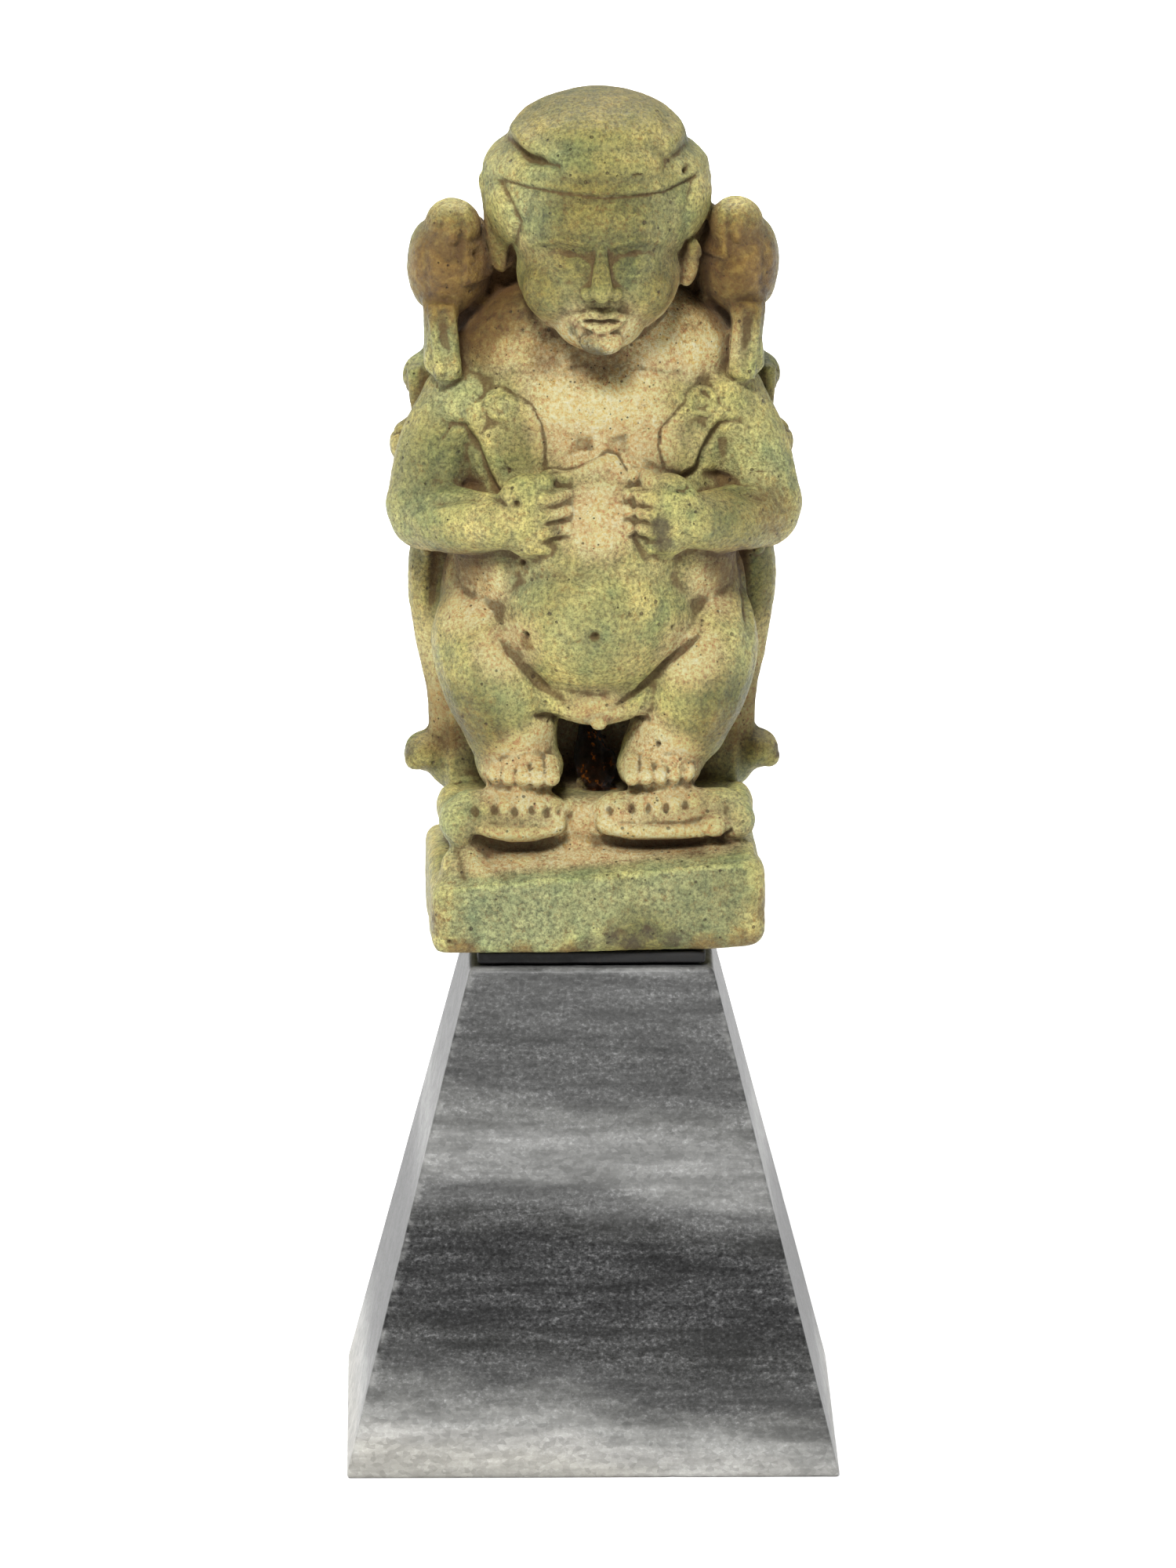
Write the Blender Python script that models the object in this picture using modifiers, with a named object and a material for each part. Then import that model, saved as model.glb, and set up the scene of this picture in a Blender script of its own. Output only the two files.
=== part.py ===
"""A faience amulet of the dwarf god Pataikos, on its tapered marble stand.

The dwarf, the crocodiles under his feet, the falcons on his shoulders, the goddesses
round him and the low plinth are one moulded piece. A thin pad of dark putty holds it
on top of a sawn and polished block of banded marble.
Run with: blender --background --python part.py
"""

import bmesh
import bpy
import numpy as np
from math import cos, pi, radians, sin
from mathutils import Euler, Matrix, Vector

# Driving dimensions, in metres.
STAND_FOOT = 0.0508  # side of the marble block where it stands
STAND_TOP = 0.0250  # side of its flat top
STAND_HEIGHT = 0.0508
STAND_EDGE = 0.0006  # rounding of its sawn edges

PAD_THICKNESS = 0.0012
PAD_INSET = 0.0006  # how far the putty stays back from the top's edges
TOUCH = 0.0003  # gap left between pieces that rest on each other

PLINTH_WIDTH = 0.0344
PLINTH_DEPTH = 0.0268
PLINTH_HEIGHT = 0.0085
PLINTH_EDGE = 0.0017  # rounding of its worn edges

DWARF_HEIGHT = 0.0796  # from the plinth's top to the top of the scarab
DWARF_TURN = radians(1.5)  # the piece was set a little askew on the stand
DWARF_SIDESTEP = 0.0004

# The dwarf is modelled in 1/79.6 of its height, close to a millimetre at the real size,
# with x to the viewer's right, y to the back and z up from the plinth's top.
SHARES = 79.6
UNIT = DWARF_HEIGHT / SHARES
GRAIN = 0.42  # voxel of the fused body, in the dwarf's units
BODY_TRIANGLES = 9300

SIDES = (-1, 1)


def clear_scene():
    for obj in list(bpy.data.objects):
        bpy.data.objects.remove(obj)


def new_collection(name):
    collection = bpy.data.collections.new(name)
    bpy.context.scene.collection.children.link(collection)
    return collection


def new_material(name, colour, roughness, metallic=0.0):
    material = bpy.data.materials.new(name)
    material.use_nodes = True
    shader = material.node_tree.nodes["Principled BSDF"]
    shader.inputs["Base Color"].default_value = (*colour, 1.0)
    shader.inputs["Roughness"].default_value = roughness
    shader.inputs["Metallic"].default_value = metallic
    return material


def add_object(name, bm, collection, material):
    mesh = bpy.data.meshes.new(name)
    bm.to_mesh(mesh)
    bm.free()
    obj = bpy.data.objects.new(name, mesh)
    obj.data.materials.append(material)
    collection.objects.link(obj)
    return obj


# Clay tools: each adds one closed form to the heap that is fused into the body.


class Heap:
    """Closed forms laid into each other, kept as plain arrays until they are fused."""

    def __init__(self):
        self.points = []
        self.faces = []
        self.count = 0

    def add(self, form, place):
        points, faces = form
        turn = np.array(place.to_3x3())
        self.points.append(points @ turn.T + np.array(place.translation))
        self.faces.extend([self.count + i for i in face] for face in faces)
        self.count += len(points)

    def to_bmesh(self):
        mesh = bpy.data.meshes.new("heap")
        mesh.from_pydata(np.concatenate(self.points).tolist(), [], self.faces)
        bm = bmesh.new()
        bm.from_mesh(mesh)
        bpy.data.meshes.remove(mesh)
        return bm


def take_form(bm):
    """The points and faces of a bmesh, which is freed."""
    points = np.array([v.co for v in bm.verts])
    faces = [[v.index for v in face.verts] for face in bm.faces]
    bm.free()
    return points, faces


def unit_ball(around, rings):
    bm = bmesh.new()
    bmesh.ops.create_uvsphere(bm, u_segments=around, v_segments=rings, radius=1.0)
    bm.verts.index_update()
    return take_form(bm)


def unit_cube():
    bm = bmesh.new()
    bmesh.ops.create_cube(bm, size=1.0)
    bm.verts.index_update()
    return take_form(bm)


BALL = unit_ball(24, 14)
BEAD = unit_ball(14, 8)
CUBE = unit_cube()


def placed(centre, size, turn):
    """The matrix that sizes, turns (degrees about x, y and z) and places a unit form."""
    turned = Euler([radians(a) for a in turn]).to_matrix().to_4x4()
    return Matrix.Translation(centre) @ turned @ Matrix.Diagonal((*size, 1.0))


def lump(heap, centre, radii, turn=(0, 0, 0)):
    """An ellipsoid."""
    heap.add(BALL, placed(centre, radii, turn))


def slab(heap, centre, size, turn=(0, 0, 0)):
    """A square-edged block. The fusing rounds its edges."""
    heap.add(CUBE, placed(centre, size, turn))


def roll(heap, stops, flat=1.0):
    """A roll of clay through stops (x, y, z, radius), laid as balls a third of a radius apart."""
    for start, end in zip(stops, stops[1:]):
        a, b = Vector(start[:3]), Vector(end[:3])
        thinnest = min(start[3], end[3])
        count = max(2, round((b - a).length / (0.33 * thinnest)))
        for i in range(count + 1):
            t = i / count
            radius = start[3] + (end[3] - start[3]) * t
            heap.add(BEAD, placed(a.lerp(b, t), (radius, radius * flat, radius), (0, 0, 0)))


def arc(centre, radii, start, end, count, y, radius):
    """Stops on an arc in the x-z plane, for roll. Angles in degrees, 0 along x."""
    stops = []
    for i in range(count):
        angle = radians(start + (end - start) * i / (count - 1))
        stops.append((centre[0] + radii[0] * cos(angle), y, centre[1] + radii[1] * sin(angle), radius))
    return stops


def add_torso(heap):
    lump(heap, (0, 1.5, 42.0), (15.6, 8.8, 9.5))
    lump(heap, (0, -0.7, 46.6), (12.6, 6.7, 7.4))
    lump(heap, (0, 1.5, 51.6), (14.6, 7.4, 8.6))
    lump(heap, (0, 0.6, 34.0), (15.2, 9.0, 12.0))
    lump(heap, (0, 0.6, 27.0), (15.9, 9.4, 12.5))
    lump(heap, (0, -2.8, 31.5), (10.8, 9.3, 13.0))
    lump(heap, (0, -2.0, 31.0), (14.6, 8.4, 11.0))
    lump(heap, (0, -3.2, 25.6), (10.8, 10.6, 9.6))
    lump(heap, (0, -4.2, 18.8), (8.4, 5.6, 4.4))
    roll(heap, [(-6.4, -7.0, 17.6, 1.8), (-0.2, -8.4, 16.2, 2.0), (5.4, -7.0, 17.2, 1.8)])
    lump(heap, (0.1, -9.6, 14.9), (1.2, 1.1, 1.0))
    for side in SIDES:
        lump(heap, (side * 12.8, 1.0, 46.0), (4.8, 5.4, 4.8))


def add_arm(heap, side):
    roll(heap, [
        (side * 13.6, 0.8, 46.6, 4.3),
        (side * 15.8, 0.2, 42.0, 4.5),
        (side * 17.4, -0.8, 36.2, 4.1),
    ])
    roll(heap, [
        (side * 17.4, -1.2, 35.3, 3.8),
        (side * 13.4, -6.2, 35.4, 3.5),
        (side * 9.8, -9.2, 35.8, 2.9),
    ])
    lump(heap, (side * 7.0, -9.9, 36.6), (3.7, 2.3, 4.5), (0, side * 8, side * -12))
    knuckles = (40.4, 38.8, 37.2, 35.5)
    for level in knuckles:
        roll(heap, [(side * 5.4, -11.4, level - 0.3, 0.85), (side * 3.1, -11.4, level, 0.75)])


def add_knife(heap, side):
    """The broad curved blade in low relief from the shoulder down to the fist."""
    lump(heap, (side * 8.0, -6.6, 42.4), (2.7, 1.8, 5.2), (6, side * 8, 0))
    roll(heap, arc((side * 9.8, 47.4), (1.0, 1.0), 0, 330, 12, -6.5, 0.5))
    lump(heap, (side * 9.8, -6.6, 47.4), (0.5, 0.5, 0.5))


def foot_middle(side):
    """The feet are not quite mirrored: the one at the viewer's right stands nearer the middle."""
    return -7.7 if side < 0 else 6.5


def add_leg(heap, side):
    foot = foot_middle(side)
    roll(heap, [
        (side * 10.6, 1.0, 25.0, 5.4),
        (side * 11.2, -3.2, 22.0, 5.8),
        (side * 10.1, -5.4, 17.6, 5.5),
        (side * 8.9, -5.0, 14.2, 4.9),
        (foot + side * 0.4, -4.4, 10.6, 4.4),
    ])
    lump(heap, (foot, -5.2, 9.5), (4.5, 4.7, 3.2))
    for toe in range(5):
        across = foot + side * (1.45 * toe - 2.95)
        reach = -10.4 + 0.13 * toe * toe
        roll(heap, [(across, reach + 2.0, 10.6, 0.85), (across, reach, 9.3, 0.9)])


def add_head(heap):
    lump(heap, (0.3, 0.4, 68.6), (11.8, 12.3, 8.4))
    lump(heap, (0.3, -3.2, 66.6), (9.7, 9.4, 7.4))
    lump(heap, (0.3, -4.6, 61.2), (8.5, 7.6, 7.2))
    lump(heap, (0.3, -7.0, 57.0), (5.0, 4.6, 3.9))
    lump(heap, (0, 3.0, 56.0), (6.8, 7.2, 8.0))
    lump(heap, (0.2, 0.6, 71.0), (11.7, 11.5, 5.2))
    roll(heap, [(-10.2, -0.8, 70.0, 1.5), (-9.6, -0.6, 66.0, 1.5), (-9.2, 0.2, 61.6, 1.2)])
    roll(heap, [(10.4, -0.6, 70.2, 1.5), (9.9, 0.0, 66.4, 1.5), (9.4, 1.2, 62.4, 1.2)])
    for side in SIDES:
        lump(heap, (side * 4.2, -8.0, 59.8), (3.5, 3.2, 3.4))
        lump(heap, (side * 3.9, -10.9, 62.5), (2.1, 1.0, 0.8))
        roll(heap, arc((side * 4.0, 63.8), (3.0, 1.2), 15, 165, 7, -11.2, 0.5))
        lump(heap, (side * 1.3, -12.3, 60.0), (1.1, 1.2, 0.8))
    roll(heap, [(0.3, -12.3, 64.4, 0.7), (0.3, -12.9, 60.4, 1.1)])
    roll(heap, [(-1.9, -11.4, 57.3, 0.5), (0.3, -11.9, 57.6, 0.6), (2.5, -11.4, 57.3, 0.5)])
    roll(heap, [(-1.5, -11.2, 56.6, 0.5), (0.3, -11.7, 56.3, 0.65), (2.1, -11.2, 56.6, 0.5)])


def add_scarab(heap):
    """The worn scarab beetle that covers the crown of his cap."""
    lump(heap, (0.3, -0.8, 73.9), (9.3, 9.8, 5.6))
    lump(heap, (0.4, -8.6, 72.6), (6.0, 2.8, 2.4))
    roll(heap, [(-7.0, -7.0, 73.4, 0.8), (-8.2, -2.0, 74.6, 0.8), (-7.0, 5.0, 75.2, 0.8)])
    roll(heap, [(7.4, -6.8, 73.0, 0.8), (8.8, -1.5, 74.8, 1.0), (7.4, 5.0, 75.2, 0.9)])


def add_falcon(heap, side):
    lump(heap, (side * 15.0, 0.6, 61.2), (3.9, 4.6, 5.6))
    lump(heap, (side * 17.0, 2.0, 60.8), (2.2, 4.4, 4.6))
    lump(heap, (side * 12.4, 2.6, 61.2), (2.0, 4.2, 4.8))
    lump(heap, (side * 14.6, -0.6, 65.4), (2.8, 3.2, 2.7))
    lump(heap, (side * 14.5, -3.5, 64.4), (0.8, 1.2, 1.1), (25, 0, 0))
    roll(heap, [(side * 16.1, -1.6, 57.2, 1.6), (side * 15.4, -2.6, 50.8, 1.6)])
    slab(heap, (side * 15.7, -1.5, 53.9), (3.0, 4.4, 7.4), (6, side * -6, 0))


def add_goddess(heap, side):
    """One of the two goddesses at his flanks, facing outwards."""
    roll(heap, [
        (side * 14.4, 5.4, 7.6, 2.6),
        (side * 14.4, 5.4, 15.0, 2.9),
        (side * 15.4, 5.4, 22.0, 3.2),
        (side * 16.0, 5.4, 27.5, 3.2),
        (side * 15.8, 5.4, 32.5, 3.0),
        (side * 16.8, 5.6, 39.0, 3.2),
        (side * 16.0, 6.0, 45.0, 2.6),
    ])
    lump(heap, (side * 17.2, 5.4, 9.0), (2.3, 3.2, 2.1))
    lump(heap, (side * 18.2, 5.8, 41.4), (2.8, 2.8, 2.8))
    lump(heap, (side * 17.0, 6.2, 48.4), (2.6, 2.8, 2.6))
    slab(heap, (side * 15.8, 6.8, 53.6), (3.0, 3.6, 7.0))


def add_back(heap):
    """The slab that ties the group together, with a winged goddess in low relief on it."""
    slab(heap, (0, 6.0, 28.0), (30.0, 7.6, 58.0))
    slab(heap, (0, 6.4, 58.0), (27.0, 7.6, 12.0))
    roll(heap, [
        (0, 9.4, 7.5, 2.4),
        (0, 9.4, 20.0, 2.7),
        (0, 9.4, 30.0, 3.2),
        (0, 9.4, 38.0, 3.0),
        (0, 9.4, 44.0, 2.6),
    ], flat=0.7)
    lump(heap, (0, 9.8, 48.4), (2.9, 2.4, 3.2))
    lump(heap, (0, 10.2, 53.4), (2.5, 1.5, 2.4))
    feathers = 6
    for side in SIDES:
        roll(heap, [(side * 2.0, 9.8, 42.5, 1.2), (side * 8.0, 9.8, 43.0, 1.2), (side * 13.5, 9.4, 39.0, 1.1)])
        for feather in range(feathers):
            t = feather / (feathers - 1)
            root = (side * (3.6 + 9.4 * t), 9.7, 42.0 - 3.0 * t, 0.95)
            tip = (side * (5.0 + 9.6 * t), 9.5, 22.0 - 6.0 * t, 0.8)
            roll(heap, [root, tip])


def add_crocodile(heap, side):
    """The crocodile that each foot treads on, its head at the outer corner."""
    inner_end = 3.1 if side < 0 else -0.3
    outer_end = 13.0
    roll(heap, [
        (side * (inner_end + 2.1), -8.4, 5.2, 2.2),
        (side * 7.6, -8.6, 5.4, 2.4),
        (side * outer_end, -7.6, 5.2, 2.4),
    ])
    roll(heap, [
        (side * (inner_end + 1.3), -9.7, 4.3, 1.3),
        (side * (inner_end + 3.4), -10.4, 3.8, 1.2),
        (side * 8.6, -10.5, 3.8, 1.2),
        (side * outer_end, -9.2, 4.6, 1.0),
    ])
    lump(heap, (side * 13.9, -7.4, 4.4), (2.3, 3.6, 2.5), (0, 0, side * 20))
    lump(heap, (side * 14.8, -2.0, 4.6), (1.6, 4.8, 2.3))
    lump(heap, (side * 12.2, -10.0, 4.6), (1.2, 1.2, 1.1))
    roll(heap, [(side * 13.2, -9.6, 2.8, 1.0), (side * 12.0, -11.4, 0.6, 0.9)])
    bumps = 5
    for bump in range(bumps):
        across = inner_end + 2.0 + bump * (outer_end - inner_end - 3.0) / (bumps - 1)
        lump(heap, (side * across, -10.5, 6.2), (0.85, 0.7, 0.7))


def add_platform(heap):
    """The ground the crocodiles lie on, sloping out to the plinth like a worn fillet."""
    slab(heap, (0, 1.2, 3.1), (29.6, 19.6, 6.8))
    slab(heap, (0, -10.1, -0.4), (32.4, 6.0, 3.0), (30, 0, 0))


def add_plinth(heap):
    """The plinth keeps its own sizes; it only fuses with what stands on it."""
    block = bmesh.new()
    below = 0.6  # cut off again when the underside is made flat
    height = PLINTH_HEIGHT / UNIT + below
    size = (PLINTH_WIDTH / UNIT, PLINTH_DEPTH / UNIT, height)
    place = Matrix.Translation((0, 0, -height / 2)) @ Matrix.Diagonal((*size, 1.0))
    bmesh.ops.create_cube(block, size=1.0, matrix=place)
    edges = list(block.edges)
    bmesh.ops.bevel(block, geom=edges, offset=PLINTH_EDGE / UNIT, segments=3, profile=0.5, affect="EDGES")
    block.verts.index_update()
    heap.add(take_form(block), Matrix.Identity(4))


def evaluated_mesh(obj):
    graph = bpy.context.evaluated_depsgraph_get()
    return bpy.data.meshes.new_from_object(obj.evaluated_get(graph))


def fuse(obj, grain, passes):
    """Makes the heap one skin, then eases the joints between its lumps."""
    remesh = obj.modifiers.new("one skin", "REMESH")
    remesh.mode = "VOXEL"
    remesh.voxel_size = grain
    ease = obj.modifiers.new("eased joints", "SMOOTH")
    ease.factor = 0.5
    ease.iterations = passes


def cut_flat(bm, height):
    """Cuts off what is below height and closes the underside with one flat face."""
    geom = list(bm.verts) + list(bm.edges) + list(bm.faces)
    cut = bmesh.ops.bisect_plane(bm, geom=geom, plane_co=(0, 0, height), plane_no=(0, 0, 1), clear_inner=True)
    rim = [e for e in cut["geom_cut"] if isinstance(e, bmesh.types.BMEdge)]
    bmesh.ops.contextual_create(bm, geom=rim)
    bmesh.ops.triangulate(bm, faces=list(bm.faces))
    bmesh.ops.recalc_face_normals(bm, faces=list(bm.faces))


def make_figure(collection, faience):
    heap = Heap()
    add_plinth(heap)
    add_platform(heap)
    add_back(heap)
    add_torso(heap)
    add_head(heap)
    add_scarab(heap)
    for side in SIDES:
        add_crocodile(heap, side)
        add_leg(heap, side)
        add_arm(heap, side)
        add_knife(heap, side)
        add_falcon(heap, side)
        add_goddess(heap, side)
    clay = add_object("clay", heap.to_bmesh(), collection, faience)
    fuse(clay, GRAIN, 5)
    skin = evaluated_mesh(clay)
    thinner = clay.modifiers.new("fewer faces", "DECIMATE")
    thinner.use_collapse_triangulate = True
    thinner.ratio = BODY_TRIANGLES / (2 * len(skin.polygons))
    thinned = evaluated_mesh(clay)
    body = bmesh.new()
    body.from_mesh(thinned)
    bpy.data.objects.remove(clay)
    for used in (skin, thinned):
        bpy.data.meshes.remove(used)
    cut_flat(body, -PLINTH_HEIGHT / UNIT)
    underside = STAND_HEIGHT + PAD_THICKNESS + 2 * TOUCH
    place = Matrix.Translation((DWARF_SIDESTEP, 0, underside + PLINTH_HEIGHT))
    place = place @ Matrix.Rotation(DWARF_TURN, 4, "Z") @ Matrix.Scale(UNIT, 4)
    bmesh.ops.transform(body, matrix=place, verts=list(body.verts))
    figure = add_object("pataikos_figure", body, collection, faience)
    figure.data.shade_smooth()
    figure.data.set_sharp_from_angle(angle=radians(60))
    return figure


def make_stand(collection, marble):
    """A sawn block that tapers on all four sides, with a narrow rounding on each edge."""
    bm = bmesh.new()
    place = Matrix.Translation((0, 0, STAND_HEIGHT / 2)) @ Matrix.Rotation(pi / 4, 4, "Z")
    corner_share = 2 ** 0.5  # from half the side of the square to its corner
    bmesh.ops.create_cone(
        bm, cap_ends=True, segments=4, radius1=STAND_FOOT / corner_share, radius2=STAND_TOP / corner_share,
        depth=STAND_HEIGHT, matrix=place,
    )
    stand = add_object("marble_stand", bm, collection, marble)
    rounding = stand.modifiers.new("sawn edges", "BEVEL")
    rounding.width = STAND_EDGE
    rounding.segments = 3
    return stand


def make_pad(collection, putty):
    bm = bmesh.new()
    side = STAND_TOP - 2 * PAD_INSET
    middle = STAND_HEIGHT + TOUCH + PAD_THICKNESS / 2
    place = Matrix.Translation((0, 0, middle)) @ Matrix.Diagonal((side, side, PAD_THICKNESS, 1.0))
    bmesh.ops.create_cube(bm, size=1.0, matrix=place)
    pad = add_object("putty_pad", bm, collection, putty)
    rounding = pad.modifiers.new("pressed edges", "BEVEL")
    rounding.width = PAD_THICKNESS / 4
    rounding.segments = 2
    return pad


def main():
    clear_scene()
    parts = new_collection("pataikos amulet")
    faience = new_material("green faience", (0.42, 0.44, 0.26), 0.5)
    marble = new_material("banded marble", (0.20, 0.20, 0.20), 0.3)
    putty = new_material("dark putty", (0.01, 0.01, 0.01), 0.7)
    make_stand(parts, marble)
    make_pad(parts, putty)
    make_figure(parts, faience)


main()
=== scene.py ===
import bmesh
import bpy
import numpy as np
from math import cos, pi, radians, sin
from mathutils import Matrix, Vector, noise
from mathutils.bvhtree import BVHTree


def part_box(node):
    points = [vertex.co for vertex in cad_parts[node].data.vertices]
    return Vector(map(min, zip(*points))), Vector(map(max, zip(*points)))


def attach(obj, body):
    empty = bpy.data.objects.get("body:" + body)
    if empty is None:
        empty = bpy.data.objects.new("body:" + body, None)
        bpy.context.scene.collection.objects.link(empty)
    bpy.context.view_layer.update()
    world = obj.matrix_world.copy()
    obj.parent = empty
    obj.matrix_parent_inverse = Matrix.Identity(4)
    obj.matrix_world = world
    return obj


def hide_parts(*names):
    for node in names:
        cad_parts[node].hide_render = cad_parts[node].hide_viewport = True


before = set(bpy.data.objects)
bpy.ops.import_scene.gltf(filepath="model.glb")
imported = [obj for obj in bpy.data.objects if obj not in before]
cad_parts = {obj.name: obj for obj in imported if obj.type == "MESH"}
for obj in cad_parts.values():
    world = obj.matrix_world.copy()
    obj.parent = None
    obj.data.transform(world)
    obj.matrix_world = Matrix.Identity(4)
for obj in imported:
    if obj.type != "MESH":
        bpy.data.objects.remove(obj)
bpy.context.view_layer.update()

MM = 0.001

# The marble stand.
# One sawn block of grey banded marble that tapers on all four sides, honed and waxed.
# Its sawn edges are softened by hand and have small bright chips, and it stands loose.
bpy.ops.object.select_all(action="DESELECT")
stand_low, stand_high = (Vector(c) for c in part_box("marble_stand"))
stand_height = stand_high.z - stand_low.z
stand_foot = 50.8 * MM
stand_top = 25.0 * MM
stand_edge = 0.5 * MM
stand_cuts = 46
chip_reach = 0.7 * MM
chip_depth = 0.484 * MM
belt_of_bands = 52.0  # millimetres from the lowest band to the highest

bpy.ops.mesh.primitive_cube_add(size=1, location=(0, 0, stand_height / 2), scale=(stand_foot, stand_foot, stand_height))
stand = bpy.context.object
stand.name = stand.data.name = "marble_block"
bpy.ops.object.transform_apply(location=True, rotation=True, scale=True)
bpy.ops.object.mode_set(mode="EDIT")
bpy.ops.mesh.select_all(action="DESELECT")
bm = bmesh.from_edit_mesh(stand.data)
for face in bm.faces:
    face.select = face.normal.z > 0.9
bmesh.update_edit_mesh(stand.data)
bpy.ops.transform.resize(value=(stand_top / stand_foot, stand_top / stand_foot, 1))
bpy.ops.mesh.select_all(action="SELECT")
bpy.ops.mesh.subdivide(number_cuts=stand_cuts)
bpy.ops.mesh.select_all(action="DESELECT")
bpy.ops.mesh.select_mode(type="EDGE")
bpy.ops.mesh.edges_select_sharp(sharpness=radians(40))
bpy.ops.mesh.bevel(offset=stand_edge, segments=3, profile=0.5, affect="EDGES")
bpy.ops.mesh.select_mode(type="VERT")
bpy.ops.object.mode_set(mode="OBJECT")


def read_points(obj):
    """The vertices of obj as rows of x, y, z."""
    flat = np.empty(len(obj.data.vertices) * 3)
    obj.data.vertices.foreach_get("co", flat)
    return flat.reshape(-1, 3)


def write_points(obj, points):
    obj.data.vertices.foreach_set("co", points.ravel())
    obj.data.update()


def speckle(points, size, seed):
    """A smooth random value from -1 to 1 for each point, in blotches of that size."""
    offset = Vector((seed * 7.3, seed * 3.1, seed * 5.7))
    return np.array([noise.noise(Vector(p) / size + offset) for p in points])


points = read_points(stand)
half = (stand_foot + (stand_top - stand_foot) * points[:, 2] / stand_height) / 2
off_x = half - np.abs(points[:, 0])
off_y = half - np.abs(points[:, 1])
off_top = stand_height - points[:, 2]
off_foot = points[:, 2]
nearest = np.sort(np.stack([off_x, off_y, off_top, off_foot], axis=1), axis=1)
near_edge = np.clip(1 - nearest[:, 1] / chip_reach, 0, 1)
chips = np.clip(speckle(points, 0.9 * MM, 1) + 0.5 * speckle(points, 2.6 * MM, 2) - 0.35, 0, 1)
inward = -points * np.array([1, 1, 0])
inward[:, 2] = (stand_height / 2 - points[:, 2])
inward /= np.linalg.norm(inward, axis=1)[:, None] + 1e-9
points += inward * (chips * near_edge * chip_depth)[:, None]
points[:, 2] = np.clip(points[:, 2], 0, stand_height)
write_points(stand, points)
edge_mask = stand.data.attributes.new("edge", "FLOAT", "POINT")
edge_mask.data.foreach_set("value", near_edge)
bpy.ops.object.shade_smooth_by_angle(angle=radians(40))


def roughen(tree, shader, height, strength, distance):
    """Bumps the shader's surface by height. distance is in metres."""
    made = tree.nodes.new("ShaderNodeBump")
    made.inputs["Strength"].default_value = strength
    made.inputs["Distance"].default_value = distance
    tree.links.new(height, made.inputs["Height"])
    tree.links.new(made.outputs["Normal"], shader.inputs["Normal"])


def ramp(tree, source, stops):
    """A colour ramp on source. Stops are (place, colour), a colour being grey or sRGB 0 to 255."""
    made = tree.nodes.new("ShaderNodeValToRGB")
    made.color_ramp.interpolation = "EASE"
    elements = made.color_ramp.elements
    while len(elements) < len(stops):
        elements.new(0.5)
    for element, (place, colour) in zip(elements, stops):
        element.position = place
        element.color = rgb(colour)
    tree.links.new(source, made.inputs["Fac"])
    return made.outputs["Color"]


def rgb(colour):
    if isinstance(colour, (int, float)):
        return (colour, colour, colour, 1)
    return tuple((c / 255) ** 2.2 for c in colour) + (1,)


def sums(tree, operation, first, second, clamp=False):
    made = tree.nodes.new("ShaderNodeMath")
    made.operation = operation
    made.use_clamp = clamp
    for socket, value in zip(made.inputs, (first, second)):
        if isinstance(value, (int, float)):
            socket.default_value = value
        else:
            tree.links.new(value, socket)
    return made.outputs["Value"]


def mix(tree, factor, first, second, blend="MIX"):
    made = tree.nodes.new("ShaderNodeMix")
    made.data_type = "RGBA"
    made.blend_type = blend
    for name, value in (("Factor_Float", factor), ("A_Color", first), ("B_Color", second)):
        socket = next(s for s in made.inputs if s.identifier == name)
        if isinstance(value, (int, float)):
            socket.default_value = value
        elif isinstance(value, tuple):
            socket.default_value = rgb(value)
        else:
            tree.links.new(value, socket)
    return next(s for s in made.outputs if s.identifier == "Result_Color")


def noise_at(tree, vector, scale, detail, roughness):
    made = tree.nodes.new("ShaderNodeTexNoise")
    made.inputs["Scale"].default_value = scale
    made.inputs["Detail"].default_value = detail
    made.inputs["Roughness"].default_value = roughness
    tree.links.new(vector, made.inputs["Vector"])
    return made.outputs["Fac"]


def new_finish(name):
    """A material with its shader and the piece's own coordinates, in millimetres."""
    finish = bpy.data.materials.new(name)
    finish.use_nodes = True
    tree = finish.node_tree
    place = tree.nodes.new("ShaderNodeTexCoord")
    in_mm = tree.nodes.new("ShaderNodeMapping")
    in_mm.inputs["Scale"].default_value = (1000, 1000, 1000)
    tree.links.new(place.outputs["Object"], in_mm.inputs["Vector"])
    return finish, tree, in_mm.outputs["Vector"], tree.nodes["Principled BSDF"]


def attribute(tree, name):
    made = tree.nodes.new("ShaderNodeAttribute")
    made.attribute_name = name
    return made.outputs["Fac"]


def turned(tree, vector, angles, scale=(1, 1, 1)):
    made = tree.nodes.new("ShaderNodeMapping")
    made.inputs["Rotation"].default_value = [radians(a) for a in angles]
    made.inputs["Scale"].default_value = scale
    tree.links.new(vector, made.inputs["Vector"])
    return made.outputs["Vector"]


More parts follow.
